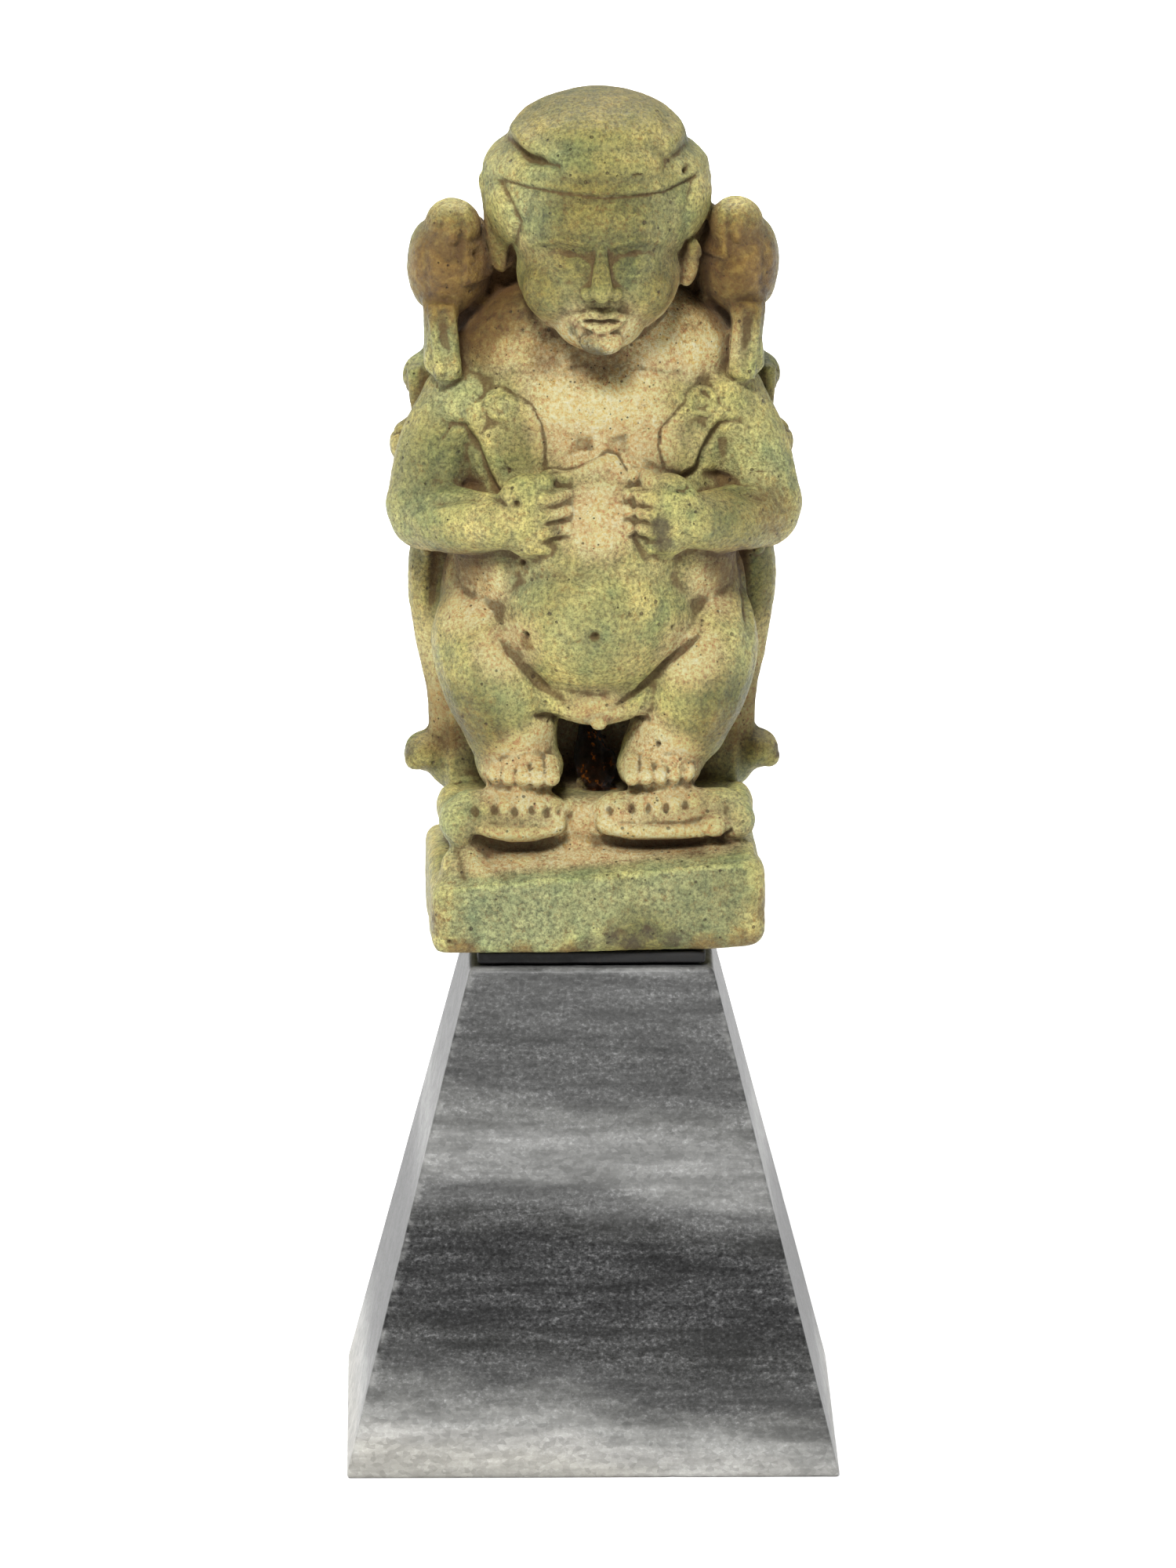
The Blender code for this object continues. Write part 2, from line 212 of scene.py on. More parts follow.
# The bands lie nearly level, fall a little to the right and are dark twice, low and high.
marble, tree, mm, shader = new_finish("banded_marble")
tilt = -5
wander = noise_at(tree, turned(tree, mm, (0, tilt, 0), (0.05, 0.05, 0.12)), 1.0, 5, 0.6)
level = tree.nodes.new("ShaderNodeSeparateXYZ")
tree.links.new(turned(tree, mm, (0, tilt, 0)), level.inputs["Vector"])
height = sums(tree, "ADD", level.outputs["Z"], sums(tree, "MULTIPLY", sums(tree, "SUBTRACT", wander, 0.5), 9.0))
share = sums(tree, "DIVIDE", height, belt_of_bands, clamp=True)
bands = ramp(tree, share, [
    (0.00, (150, 148, 141)), (0.06, (142, 141, 137)), (0.10, (122, 122, 119)), (0.14, (88, 88, 86)),
    (0.18, (60, 60, 59)), (0.24, (42, 42, 41)), (0.33, (32, 32, 32)), (0.43, (30, 30, 30)),
    (0.48, (46, 46, 45)), (0.53, (74, 74, 73)), (0.58, (108, 108, 106)), (0.63, (112, 112, 110)),
    (0.68, (92, 92, 90)), (0.74, (66, 66, 65)), (0.82, (60, 60, 59)), (0.90, (68, 68, 67)), (1.00, (72, 72, 71)),
])
grain = tree.nodes.new("ShaderNodeTexVoronoi")
grain.inputs["Scale"].default_value = 1.9
tree.links.new(turned(tree, mm, (0, tilt, 0), (0.8, 0.9, 1.2)), grain.inputs["Vector"])
flecks = noise_at(tree, turned(tree, mm, (0, tilt, 0), (0.8, 0.8, 1.1)), 3.0, 5, 0.7)
streaks = noise_at(tree, turned(tree, mm, (0, tilt, 0), (0.10, 0.3, 0.7)), 1.0, 4, 0.6)
crystal = tree.nodes.new("ShaderNodeSeparateColor")
tree.links.new(grain.outputs["Color"], crystal.inputs["Color"])
glints = sums(tree, "MULTIPLY", ramp(tree, flecks, [(0.34, 0.0), (0.5, 0.02), (0.72, 0.09)]),
              ramp(tree, streaks, [(0.3, 0.5), (0.7, 1.5)]))
colour = mix(tree, 1.0, bands, glints, "ADD")
colour = mix(tree, 0.16, colour, crystal.outputs["Red"], "OVERLAY")
colour = mix(tree, 0.45, colour, ramp(tree, streaks, [(0.3, 0.3), (0.7, 0.68)]), "OVERLAY")
worn = sums(tree, "MULTIPLY", attribute(tree, "edge"), ramp(tree, streaks, [(0.42, 0.0), (0.7, 0.55)]))
colour = mix(tree, worn, colour, (168, 168, 165))
tree.links.new(colour, shader.inputs["Base Color"])
gloss = ramp(tree, flecks, [(0.3, 0.34), (0.7, 0.46)])
tree.links.new(gloss, shader.inputs["Roughness"])
shader.inputs["Specular IOR Level"].default_value = 0.15
roughen(tree, shader, flecks, 0.12, 0.1 * MM)
stand.data.materials.append(marble)
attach(stand, "root")
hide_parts("marble_stand")

# The putty pad.
# A thin layer of museum putty, pressed flat by the figure so that its rim bulges
# unevenly. It holds the plinth on the marble and shows as a black line between the two: painted shadow of the gap.
bpy.ops.object.select_all(action="DESELECT")
pad_low, pad_high = (Vector(c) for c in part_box("putty_pad"))
pad_cuts = 20
rim_wobble = 0.35 * MM

bpy.ops.mesh.primitive_cube_add(size=1, location=(pad_low + pad_high) / 2, scale=pad_high - pad_low)
pad = bpy.context.object
pad.name = pad.data.name = "pressed_putty"
bpy.ops.object.transform_apply(location=True, rotation=True, scale=True)
bpy.ops.object.mode_set(mode="EDIT")
bpy.ops.mesh.select_all(action="SELECT")
bpy.ops.mesh.bevel(offset=0.35 * MM, segments=3, profile=0.6, affect="EDGES")
bpy.ops.mesh.select_all(action="SELECT")
bpy.ops.mesh.subdivide(number_cuts=pad_cuts)
bpy.ops.object.mode_set(mode="OBJECT")
points = read_points(pad)
shrink = 1 - (rim_wobble / pad_high.x) * (0.6 + 0.6 * speckle(points * np.array([1, 1, 0.2]), 2.5 * MM, 3))
points[:, 0] *= np.clip(shrink, 0.9, 1)
points[:, 1] *= np.clip(shrink, 0.9, 1)
write_points(pad, points)
bpy.ops.object.shade_smooth()

putty, tree, mm, shader = new_finish("putty_black_as_gap_shadow")
dust = noise_at(tree, mm, 1.8, 5, 0.6)
# Near-black colour: painted shadow standing in for the shade in the gap under the plinth.
tree.links.new(ramp(tree, dust, [(0.4, (9, 9, 9)), (0.75, (34, 32, 30))]), shader.inputs["Base Color"])
tree.links.new(ramp(tree, dust, [(0.3, 0.65), (0.7, 0.85)]), shader.inputs["Roughness"])
roughen(tree, shader, dust, 0.4, 0.1 * MM)
pad.data.materials.append(putty)
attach(pad, "root")
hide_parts("putty_pad")

# The faience figure.
# A dwarf god with falcons on his shoulders, goddesses at his flanks and crocodiles under
# his feet, moulded in one piece with its plinth, fired and glazed green. The glaze has
# worn to the cream core in the hollows. It is built up in clay here, in shares close to a
# millimetre, with z from the plinth's top, then fused, carved and moved onto the stand.
bpy.ops.object.select_all(action="DESELECT")
figure_low = Vector(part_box("pataikos_figure")[0])
plinth_height = 8.5
dwarf_turn = radians(1.5)
dwarf_sidestep = 0.4
plinth_width, plinth_depth = 34.4, 26.8
first_grain = 0.34
fine_grain = 0.21
most_faces = 190000  # triangles of the finished figure
shelter_reach = 6.0  # how near a neighbour has to be to shelter a point
deepest_dent = 0.10
SIDES = (-1, 1)
clay = []


def ball(centre, radii, turn=(0, 0, 0)):
    """An ellipsoid of clay. turn is in degrees."""
    bpy.ops.mesh.primitive_uv_sphere_add(
        segments=24, ring_count=14, location=centre, scale=radii, rotation=[radians(a) for a in turn])
    clay.append(bpy.context.object)


def block(centre, size, turn=(0, 0, 0), edge=0.0):
    bpy.ops.mesh.primitive_cube_add(size=1, location=centre, scale=size, rotation=[radians(a) for a in turn])
    made = bpy.context.object
    if edge:
        bpy.ops.object.transform_apply(location=False, rotation=False, scale=True)
        rounding = made.modifiers.new("worn edges", "BEVEL")
        rounding.width = edge
        rounding.segments = 3
        bpy.ops.object.modifier_apply(modifier=rounding.name)
    clay.append(made)


def roll(stops):
    """A roll of clay through stops (x, y, z, radius), rounded at both ends."""
    curve = bpy.data.curves.new("roll", "CURVE")
    curve.dimensions = "3D"
    curve.bevel_depth = 1.0
    curve.bevel_resolution = 4
    curve.use_fill_caps = True
    curve.resolution_u = 6
    spline = curve.splines.new("BEZIER")
    spline.bezier_points.add(len(stops) - 1)
    for point, stop in zip(spline.bezier_points, stops):
        point.co = stop[:3]
        point.radius = stop[3]
        point.handle_left_type = point.handle_right_type = "AUTO"
    mesh = bpy.data.meshes.new_from_object(bpy.data.objects.new("roll", curve))
    made = bpy.data.objects.new("roll", mesh)
    bpy.context.collection.objects.link(made)
    clay.append(made)
    for x, y, z, radius in (stops[0], stops[-1]):
        ball((x, y, z), (radius, radius, radius))


def fuse(name, grain, passes):
    """Joins all the clay into one skin of that grain and smooths it."""
    global clay
    bpy.ops.object.select_all(action="DESELECT")
    for made in clay:
        made.select_set(True)
    bpy.context.view_layer.objects.active = clay[0]
    bpy.ops.object.join()
    body = bpy.context.object
    body.name = body.data.name = name
    bpy.ops.object.transform_apply(location=True, rotation=True, scale=True)
    remesh = body.modifiers.new("one skin", "REMESH")
    remesh.mode = "VOXEL"
    remesh.voxel_size = grain
    bpy.ops.object.modifier_apply(modifier=remesh.name)
    ease = body.modifiers.new("eased joints", "SMOOTH")
    ease.factor = 0.5
    ease.iterations = passes
    bpy.ops.object.modifier_apply(modifier=ease.name)
    clay = [body]
    return body


# Plinth, the slope of worn clay that the crocodiles lie on, and the slab at the back.
below = 0.6
block((0, 0, -(plinth_height + below) / 2), (plinth_width, plinth_depth, plinth_height + below), edge=1.7)
block((0, 1.2, 3.1), (29.6, 19.6, 6.8), edge=1.6)
block((0, -10.1, -0.4), (32.4, 6.0, 3.0), (30, 0, 0), edge=1.2)
block((0, 6.0, 28.0), (30.0, 7.6, 58.0))
block((0, 6.4, 58.0), (27.0, 7.6, 12.0))

# Trunk, belly and loins.
ball((0, 1.5, 42.0), (15.6, 8.8, 9.5))
ball((0, -0.7, 46.6), (12.6, 6.7, 7.4))
ball((0, 1.5, 51.6), (14.6, 7.4, 8.6))
ball((0, 0.6, 34.0), (15.2, 9.0, 12.0))
ball((0, 0.6, 27.0), (15.9, 9.4, 12.5))
ball((0, -2.8, 31.5), (10.8, 9.3, 13.0))
ball((0, -2.0, 31.0), (14.6, 8.4, 11.0))
ball((0, -3.2, 25.6), (10.8, 10.6, 9.6))
ball((0, -4.2, 18.8), (8.4, 5.6, 4.4))
roll([(-6.4, -7.0, 17.6, 1.8), (-0.2, -8.4, 16.2, 2.0), (5.4, -7.0, 17.2, 1.8)])

# Head and cap. The face is a plain calm one of no person, a little bowed.
ball((0.3, -3.2, 66.6), (9.7, 9.4, 7.4))
ball((0.3, -4.6, 61.2), (8.5, 7.6, 7.2))
ball((0.3, -7.0, 57.0), (5.0, 4.6, 3.9))
ball((0.3, 0.4, 68.6), (11.8, 12.3, 8.4))
ball((0, 3.0, 56.0), (6.8, 7.2, 8.0))
ball((0.3, -0.8, 73.9), (9.3, 9.8, 5.6))
ball((0.2, 0.6, 71.0), (11.7, 11.5, 5.2))
ball((0.4, -8.6, 72.6), (6.0, 2.8, 2.4))
roll([(-10.2, -0.8, 70.0, 1.5), (-9.6, -0.6, 66.0, 1.5), (-9.2, 0.2, 61.6, 1.2)])
roll([(10.4, -0.6, 70.2, 1.5), (9.9, 0.0, 66.4, 1.5), (9.4, 1.2, 62.4, 1.2)])

feet_at = {-1: -7.7, 1: 6.5}
for side in SIDES:
    ball((side * 4.2, -8.0, 59.8), (3.5, 3.2, 3.4))
    # Shoulders and arms.
    ball((side * 12.8, 1.0, 46.0), (4.8, 5.4, 4.8))
    roll([(side * 13.6, 0.8, 46.6, 4.3), (side * 15.8, 0.2, 42.0, 4.5), (side * 17.4, -0.8, 36.2, 4.1)])
    roll([(side * 17.4, -1.2, 35.3, 3.8), (side * 13.4, -6.2, 35.4, 3.5), (side * 9.8, -9.2, 35.8, 2.9)])
    ball((side * 7.0, -9.9, 36.6), (3.7, 2.3, 4.5), (0, side * 8, side * -12))
    # Thighs, shins and feet.
    roll([
        (side * 10.6, 1.0, 25.0, 5.4), (side * 11.2, -3.2, 22.0, 5.8), (side * 10.1, -5.4, 17.6, 5.5),
        (side * 8.9, -5.0, 14.2, 4.9),
    ])
    roll([(side * 8.6, -4.8, 14.0, 4.8), (feet_at[side] + side * 0.4, -4.4, 10.6, 4.4)])
    ball((feet_at[side], -5.2, 9.5), (4.5, 4.7, 3.2))
    # Falcons, with the folded wing outside and the framed bar of legs and tail below.
    ball((side * 15.0, 0.6, 61.2), (3.9, 4.6, 5.6))
    ball((side * 17.0, 2.0, 60.8), (2.2, 4.4, 4.6))
    ball((side * 12.4, 2.6, 61.2), (2.0, 4.2, 4.8))
    ball((side * 14.6, -0.6, 65.4), (2.8, 3.2, 2.7))
    roll([(side * 16.1, -1.6, 57.2, 1.6), (side * 15.4, -2.6, 50.8, 1.6)])
    block((side * 15.7, -1.5, 53.9), (3.0, 4.4, 7.4), (6, side * -6, 0), edge=0.7)
    # Goddesses at the flanks.
    roll([
        (side * 14.4, 5.4, 7.6, 2.6), (side * 14.4, 5.4, 15.0, 2.9), (side * 15.4, 5.4, 22.0, 3.2),
        (side * 16.0, 5.4, 27.5, 3.2), (side * 15.8, 5.4, 32.5, 3.0), (side * 16.8, 5.6, 39.0, 3.2),
        (side * 16.0, 6.0, 45.0, 2.6),
    ])
    ball((side * 17.2, 5.4, 9.0), (2.3, 3.2, 2.1))
    ball((side * 18.2, 5.8, 41.4), (2.8, 2.8, 2.8))
    ball((side * 17.0, 6.2, 48.4), (2.6, 2.8, 2.6))
    block((side * 15.8, 6.8, 53.6), (3.0, 3.6, 7.0))
    # Crocodiles under the feet: a long back, the lip below it and the swelling at the outer end.
    inner_end = 3.1 if side < 0 else -0.3
    outer_end = 13.0
    roll([(side * (inner_end + 2.1), -8.4, 5.2, 2.2), (side * 7.6, -8.6, 5.4, 2.4), (side * outer_end, -7.6, 5.2, 2.4)])
    roll([(side * (inner_end + 1.3), -9.7, 4.3, 1.3), (side * (inner_end + 3.4), -10.3, 3.9, 1.25),
          (side * 8.6, -10.5, 3.8, 1.2), (side * 11.4, -10.2, 4.0, 1.0), (side * outer_end, -9.2, 4.6, 1.0)])
    ball((side * 13.9, -7.4, 4.4), (2.3, 3.6, 2.5), (0, 0, side * 20))
    ball((side * 14.8, -2.0, 4.6), (1.6, 4.8, 2.3))

moulded = fuse("moulded_clay", first_grain, 8)

skin = BVHTree.FromPolygons([v.co for v in moulded.data.vertices], [p.vertices[:] for p in moulded.data.polygons])


# The finer forms go on once the masses are eased into each other.
def laid(stops, proud=0.0):
    """Stops (x, z, radius) laid on the eased clay as seen from the front, standing proud of it."""
    found = []
    for x, z, radius in stops:
        spot = skin.ray_cast(Vector((x, -40, z)), Vector((0, 1, 0)))[0]
        found.append((x, spot.y - proud, z, radius))
    return found


middle = 0.3
roll(laid([(middle, 64.4, 0.5)], 0.1) + laid([(middle, 62.4, 0.8)], 0.5) + laid([(middle, 60.4, 1.15)], 1.2))
roll(laid([(-2.0, 57.25, 0.3), (-0.6, 57.7, 0.5), (middle, 57.55, 0.45), (1.2, 57.7, 0.5), (2.6, 57.25, 0.3)], 0.25))
roll(laid([(-1.6, 56.8, 0.3), (middle, 56.3, 0.6), (2.2, 56.8, 0.3)], 0.2))
ball((middle, -10.9, 54.7), (2.2, 1.4, 1.3))
ball((9.5, -3.9, 61.8), (1.0, 1.6, 2.5), (0, 8, 25))
ball((0.1, -9.8, 14.9), (1.0, 0.9, 0.8))
for side in SIDES:
    # Eyes, brows and the wings of the nose.
    roll(laid([(middle + side * x, z, r) for x, z, r in ((2.4, 62.6, 0.5), (3.6, 62.8, 0.8), (4.9, 62.6, 0.5))], -0.4))
    lids = [(middle + side * (3.6 + 2.1 * cos(t)), 62.4 + 1.15 * sin(t), 0.26) for t in (3.0, 2.4, 1.8, 1.2, 0.6, 0.1)]
    roll(laid(lids, -0.04))
    lids = [(middle + side * (3.6 + 2.0 * cos(t)), 62.3 + 0.6 * sin(t), 0.22) for t in (-2.8, -2.1, -1.5, -0.9, -0.3)]
    roll(laid(lids, -0.1))
    roll(laid([(middle + side * x, z, r) for x, z, r in
               ((1.3, 65.0, 0.28), (3.2, 65.5, 0.36), (5.4, 65.3, 0.34), (7.2, 64.5, 0.25))], 0.0))
    ball((middle + side * 1.2, -12.3, 60.0), (0.95, 1.1, 0.75))
    # The thumb and the fingers round the haft of the knife.
    for level in (40.4, 38.8, 37.2, 35.5):
        roll(laid([(side * 5.6, level - 0.3, 0.95)], -0.5) + laid([(side * 4.5, level - 0.1, 0.9)], -0.15)
             + laid([(side * 3.4, level, 0.75)], -0.1))
    roll(laid([(side * 7.0, 33.6, 0.8), (side * 5.4, 33.3, 0.7)], -0.35))
    # Toes.
    for toe in range(5):
        across = feet_at[side] + side * (1.45 * toe - 2.95)
        reach = -10.4 + 0.13 * toe * toe
        roll([(across, reach + 2.0, 10.6, 0.8), (across, reach, 9.3, 0.86)])
    # Beak of the falcon.
    roll([(side * 14.5, -3.0, 65.4, 1.0), (side * 14.6, -3.4, 64.3, 0.65)])
    # Arms and hair of the goddess, and her feet.
    for fore in (-1, 1):
        roll([(side * 17.0, 5.8 + fore * 2.6, 44.0, 1.0), (side * 17.6, 5.6 + fore * 3.0, 38.0, 1.0),
              (side * 17.0, 5.4 + fore * 2.9, 31.0, 0.9)])
        roll([(side * 18.2, 6.2 + fore * 2.2, 49.0, 0.9), (side * 18.0, 6.0 + fore * 2.4, 45.4, 0.8)])
        ball((side * 18.2, 5.4 + fore * 1.4, 8.4), (1.3, 1.2, 1.2))
# The resin that has run down inside the gap between the legs.
roll([(-0.5, -0.4, 12.2, 1.2), (-0.4, -1.4, 9.8, 1.8), (-0.1, -2.0, 7.6, 1.6)])
ball((1.2, -1.6, 8.6), (1.2, 1.2, 2.0))
ball((-0.9, -2.4, 7.2), (1.0, 0.9, 0.9))
# The winged goddess on the back.
roll([(0, 9.4, 7.5, 2.4), (0, 9.4, 20.0, 2.7), (0, 9.4, 30.0, 3.0), (0, 9.2, 38.0, 2.8), (0, 9.4, 44.0, 2.4)])
ball((0, 9.8, 48.4), (2.9, 2.2, 3.2))
ball((0, 10.0, 53.4), (2.5, 1.4, 2.4))
for side in SIDES:
    roll([(side * 2.0, 9.7, 42.5, 1.1), (side * 8.0, 9.7, 43.0, 1.1), (side * 13.2, 9.3, 39.0, 1.0)])
    for feather in range(7):
        t = feather / 6
        roll([(side * (3.6 + 9.2 * t), 9.5, 42.0 - 3.0 * t, 0.75), (side * (5.0 + 9.2 * t), 9.3, 22.0 - 6.0 * t, 0.7)])
figure = fuse("faience_pataikos", fine_grain, 3)

# The lines, steps and pits are worked in with the tool's point.
points = read_points(figure)
flat = np.empty(len(points) * 3)
figure.data.vertex_normals.foreach_get("vector", flat)
normals = flat.reshape(-1, 3)
VIEWS = {"front": ((0, 2), (0, -1, 0)), "left": ((1, 2), (-1, 0, 0)), "right": ((1, 2), (1, 0, 0)),
         "back": ((0, 2), (0, 1, 0))}


def seen(path, reach, seen_from, behind, before=-99.0):
    """The vertices near path as seen from one side, how much each counts, and its distance from path."""
    axes, facing = VIEWS[seen_from]
    spot = points[:, axes]
    path = [np.array(p, dtype=float) for p in path]
    low = np.min(path, axis=0) - reach
    high = np.max(path, axis=0) + reach
    turned_to = normals @ np.array(facing)
    chosen = np.flatnonzero(np.all((spot > low) & (spot < high), axis=1) & (turned_to > 0))
    weight = np.clip(turned_to[chosen] * 3, 0, 1)
    if seen_from == "front":
        depth_in = points[chosen, 1]
        weight = weight * np.clip((behind - depth_in) / 1.2, 0, 1) * np.clip((depth_in - before) / 0.8, 0, 1)
    away = np.full(len(chosen), 1e9)
    spot = spot[chosen]
    for a, b in zip(path, path[1:] if len(path) > 1 else path):
        run = b - a
        along = np.clip((spot - a) @ run / max(run @ run, 1e-9), 0, 1)
        away = np.minimum(away, np.linalg.norm(spot - a - along[:, None] * run, axis=1))
    return chosen, weight, away, spot


def carve(path, width, depth, seen_from="front", behind=99.0):
    """Presses a line in along path. A negative depth raises a ridge.

    behind leaves out what lies further back than that."""
    chosen, weight, away, spot = seen(path, 3 * width, seen_from, behind)
    to_start, to_end = (np.linalg.norm(spot - np.array(end), axis=1) for end in (path[0], path[-1]))
    ends = np.minimum(to_start, to_end)
    is_line = len(path) > 1 and path[0] != path[-1]
    fade = np.clip(0.25 + ends / (5 * width), 0, 1) if is_line else 1.0
    points[chosen] -= normals[chosen] * (depth * weight * fade * np.exp(-(away / width) ** 2))[:, None]


def plate(outline, height, edge, behind=99.0, before=-99.0):
    """Raises the skin by height inside a closed outline, with a soft edge, as seen from the front."""
    closed = list(outline) + [outline[0]]
    chosen, weight, away, spot = seen(closed, edge, "front", behind, before)
    inside = np.zeros(len(chosen), dtype=bool)
    for (ax, az), (bx, bz) in zip(closed, closed[1:]):
        if az != bz:
            crossing = (bx - ax) * (spot[:, 1] - az) / (bz - az) + ax
            inside ^= ((az > spot[:, 1]) != (bz > spot[:, 1])) & (spot[:, 0] < crossing)
    t = np.clip(0.5 + np.where(inside, away, -away) / edge, 0, 1)
    points[chosen] += normals[chosen] * (height * weight * t * t * (3 - 2 * t))[:, None]


# The cap stands proud of the forehead, with a fold down the left temple.
cap_edge = [(-10.4, 71.1), (-8.6, 70.8), (-5.8, 70.5), (-3.1, 70.3), (0.5, 69.9), (3.8, 70.0), (6.8, 70.2),
            (8.8, 70.8), (10.6, 71.3)]
plate([(-13.5, 59.5), (-9.2, 60.0), (-8.7, 63.8), (-8.2, 66.9), (-9.9, 70.7)] + cap_edge[1:-1]
      + [(10.0, 71.0), (9.0, 67.5), (9.2, 65.0), (9.6, 62.6), (13.5, 62.0), (13.5, 76.0), (9.0, 82.0),
         (-9.0, 82.0), (-13.5, 76.0)], 0.4, 0.45, behind=3)
carve(cap_edge, 0.2, 0.25, behind=0)
carve([(-9.9, 70.6), (-7.9, 66.9), (-8.4, 63.8), (-8.8, 61.0)], 0.35, 0.3, behind=2)
# The scarab on the cap is worn to a low dome with a broken border.
carve([(-9.4, 75.2), (-7.0, 73.4), (-4.2, 73.0), (-3.6, 72.0)], 0.45, 0.7, behind=2)
carve([(-9.2, 76.6), (-6.9, 74.7), (-4.4, 74.1)], 0.75, -0.75, behind=2)
carve([(9.4, 74.8), (8.4, 73.6), (6.8, 72.8)], 0.5, 0.3, behind=2)
carve([(9.0, 76.8), (8.2, 75.0), (6.8, 73.9)], 0.8, -0.5, behind=2)
carve([(-7.8, 77.6), (-6.4, 78.2), (-4.7, 77.9)], 0.7, 0.3, behind=2)
carve([(7.0, 77.6), (7.1, 76.4), (5.8, 75.2)], 0.7, 0.25, behind=2)
carve([(3.3, 72.0), (4.0, 72.15), (4.7, 71.95)], 0.13, 0.3, behind=0)
carve([(9.3, 71.9)], 0.4, 0.7, behind=0)
carve([(-0.6, 79.8), (0.1, 78.9)], 0.35, 0.25)
# Corners of the eyes, mouth and nostrils.
for side in SIDES:
    carve([(middle + side * 1.7, 62.2), (middle + side * 1.4, 63.0)], 0.45, 0.2, behind=-8)
    carve([(middle + side * 2.2, 63.9), (middle + side * 4.6, 64.2)], 0.4, 0.25, behind=-7)
    carve([(middle + side * 2.2, 61.2), (middle + side * 4.4, 61.0)], 0.4, 0.2, behind=-8)
    carve([(middle + side * 0.9, 59.4)], 0.28, 0.35, behind=-11)
    carve([(middle + side * 2.0, 59.4), (middle + side * 2.6, 58.6)], 0.4, 0.1, behind=-9)
carve([(-1.9, 57.0), (-0.5, 57.1), (middle, 57.0), (1.1, 57.1), (2.5, 57.0)], 0.18, 0.35, behind=-9)
carve([(-0.9, 55.5), (1.5, 55.5)], 0.4, 0.2, behind=-9)
# Knives: low plates on the chest, each with a coil at its upper end.
plate([(-9.4, 48.4), (-8.0, 48.1), (-6.7, 47.3), (-5.8, 45.4), (-5.5, 43.1), (-5.6, 41.0), (-6.4, 39.0), (-8.1, 37.8),
       (-9.8, 38.4), (-10.9, 39.9), (-11.8, 42.5), (-12.9, 44.6), (-13.4, 47.0)], 0.4, 0.6, -1, -9.2)
plate([(10.4, 48.2), (9.4, 47.4), (8.4, 46.5), (6.9, 44.8), (6.6, 43.0), (7.3, 40.8), (8.6, 40.2), (10.0, 40.8),
       (10.6, 42.2), (12.0, 44.5), (13.4, 46.6)], 0.4, 0.6, -1, -9.2)
carve([(-8.2, 48.2), (-6.7, 47.4), (-5.7, 45.4), (-5.3, 43.1), (-5.4, 41.0)], 0.25, 0.16, behind=-1)
carve([(9.2, 47.4), (8.2, 46.5), (6.7, 44.8), (6.4, 43.0), (7.1, 40.8)], 0.25, 0.16, behind=-1)
for side, x, z in ((-1, -9.9, 47.3), (1, 10.9, 47.4)):
    ring = [(x + 1.3 * cos(t * pi / 10), z + 1.2 * sin(t * pi / 10)) for t in range(20)]
    carve(ring + ring[:1], 0.34, -0.25, behind=0)
    carve([(x + 1.8 * cos(t * pi / 10), z + 1.7 * sin(t * pi / 10)) for t in range(-3, 10)], 0.25, 0.12, behind=0)
    carve([(x, z)], 0.45, -0.3, behind=0)
# Armpits, the folds of the elbows and short scratches on the shoulders.
carve([(-15.4, 45.2), (-13.4, 44.9), (-12.3, 43.2), (-11.4, 40.6), (-10.4, 38.6), (-8.6, 37.6)], 0.4, 0.5, behind=2)
carve([(14.7, 45.3), (12.6, 44.8), (11.2, 42.6), (10.5, 40.5), (8.8, 39.5), (7.0, 39.8)], 0.4, 0.5, behind=2)
carve([(-17.8, 36.9), (-14.4, 38.2), (-10.9, 38.8)], 0.5, 0.4, behind=2)
carve([(10.3, 40.1), (13.5, 39.1), (16.4, 37.9), (18.4, 37.0)], 0.5, 0.4, behind=2)
carve([(-16.0, 43.2), (-14.6, 45.2)], 0.2, 0.22, behind=2)
carve([(16.0, 39.9), (18.2, 40.2)], 0.2, 0.2, behind=2)
# Between the fingers.
for side in SIDES:
    for level in (39.6, 38.0, 36.35, 34.6):
        carve([(side * 2.9, level), (side * 5.4, level - 0.25)], 0.22, 0.2, behind=-8)
# The top of the belly between the hands, the navel, the folds above the thighs and the loins.
belly_line = [(-4.9, 40.9), (-2.4, 41.3), (0.5, 42.5), (1.1, 42.8), (2.2, 42.4), (3.0, 41.2), (3.4, 39.7)]
carve(belly_line, 0.2, 0.22, behind=-5)
carve([(-4.4, 40.2), (-2.3, 40.7), (0.5, 41.9), (1.6, 42.0), (2.6, 40.8)], 0.55, -0.25, behind=-5)
carve([(3.4, 39.7), (3.6, 37.0), (3.8, 34.4), (4.9, 32.0)], 0.3, 0.3, behind=-5)
carve([(-0.4, 24.5)], 1.1, 0.3, behind=-8)
carve([(-0.4, 24.6)], 0.45, 0.75, behind=-8)
carve([(10.6, 24.0), (8.8, 22.4), (7.0, 20.9), (4.2, 18.0), (1.5, 16.6)], 0.35, 0.6, behind=-1)
carve([(-10.4, 24.0), (-7.8, 20.8), (-5.0, 18.0), (-2.2, 16.6)], 0.5, 0.4, behind=-1)
carve([(-6.6, 15.6), (-4.2, 15.0), (-1.8, 13.9)], 0.35, 0.7, behind=0)
carve([(1.7, 14.0), (3.9, 14.8), (5.2, 14.9)], 0.35, 0.7, behind=0)
# Where the shins meet the feet, and the nails of the toes.
for side in SIDES:
    at = feet_at[side]
    for toe in range(5):
        across = at + side * (1.45 * toe - 2.95)
        carve([(across, 9.6)], 0.36, 0.08, behind=-6)
        carve([(across + side * 0.72, 8.4), (across + side * 0.72, 10.4)], 0.22, 0.12, behind=-6)
# Flanks, behind the forearms.
carve([(-16.0, 32.0), (-16.5, 28.2), (-17.0, 24.1)], 0.5, 0.6, behind=8)
carve([(15.0, 32.0), (15.4, 29.3), (16.0, 23.4)], 0.5, 0.8, behind=8)
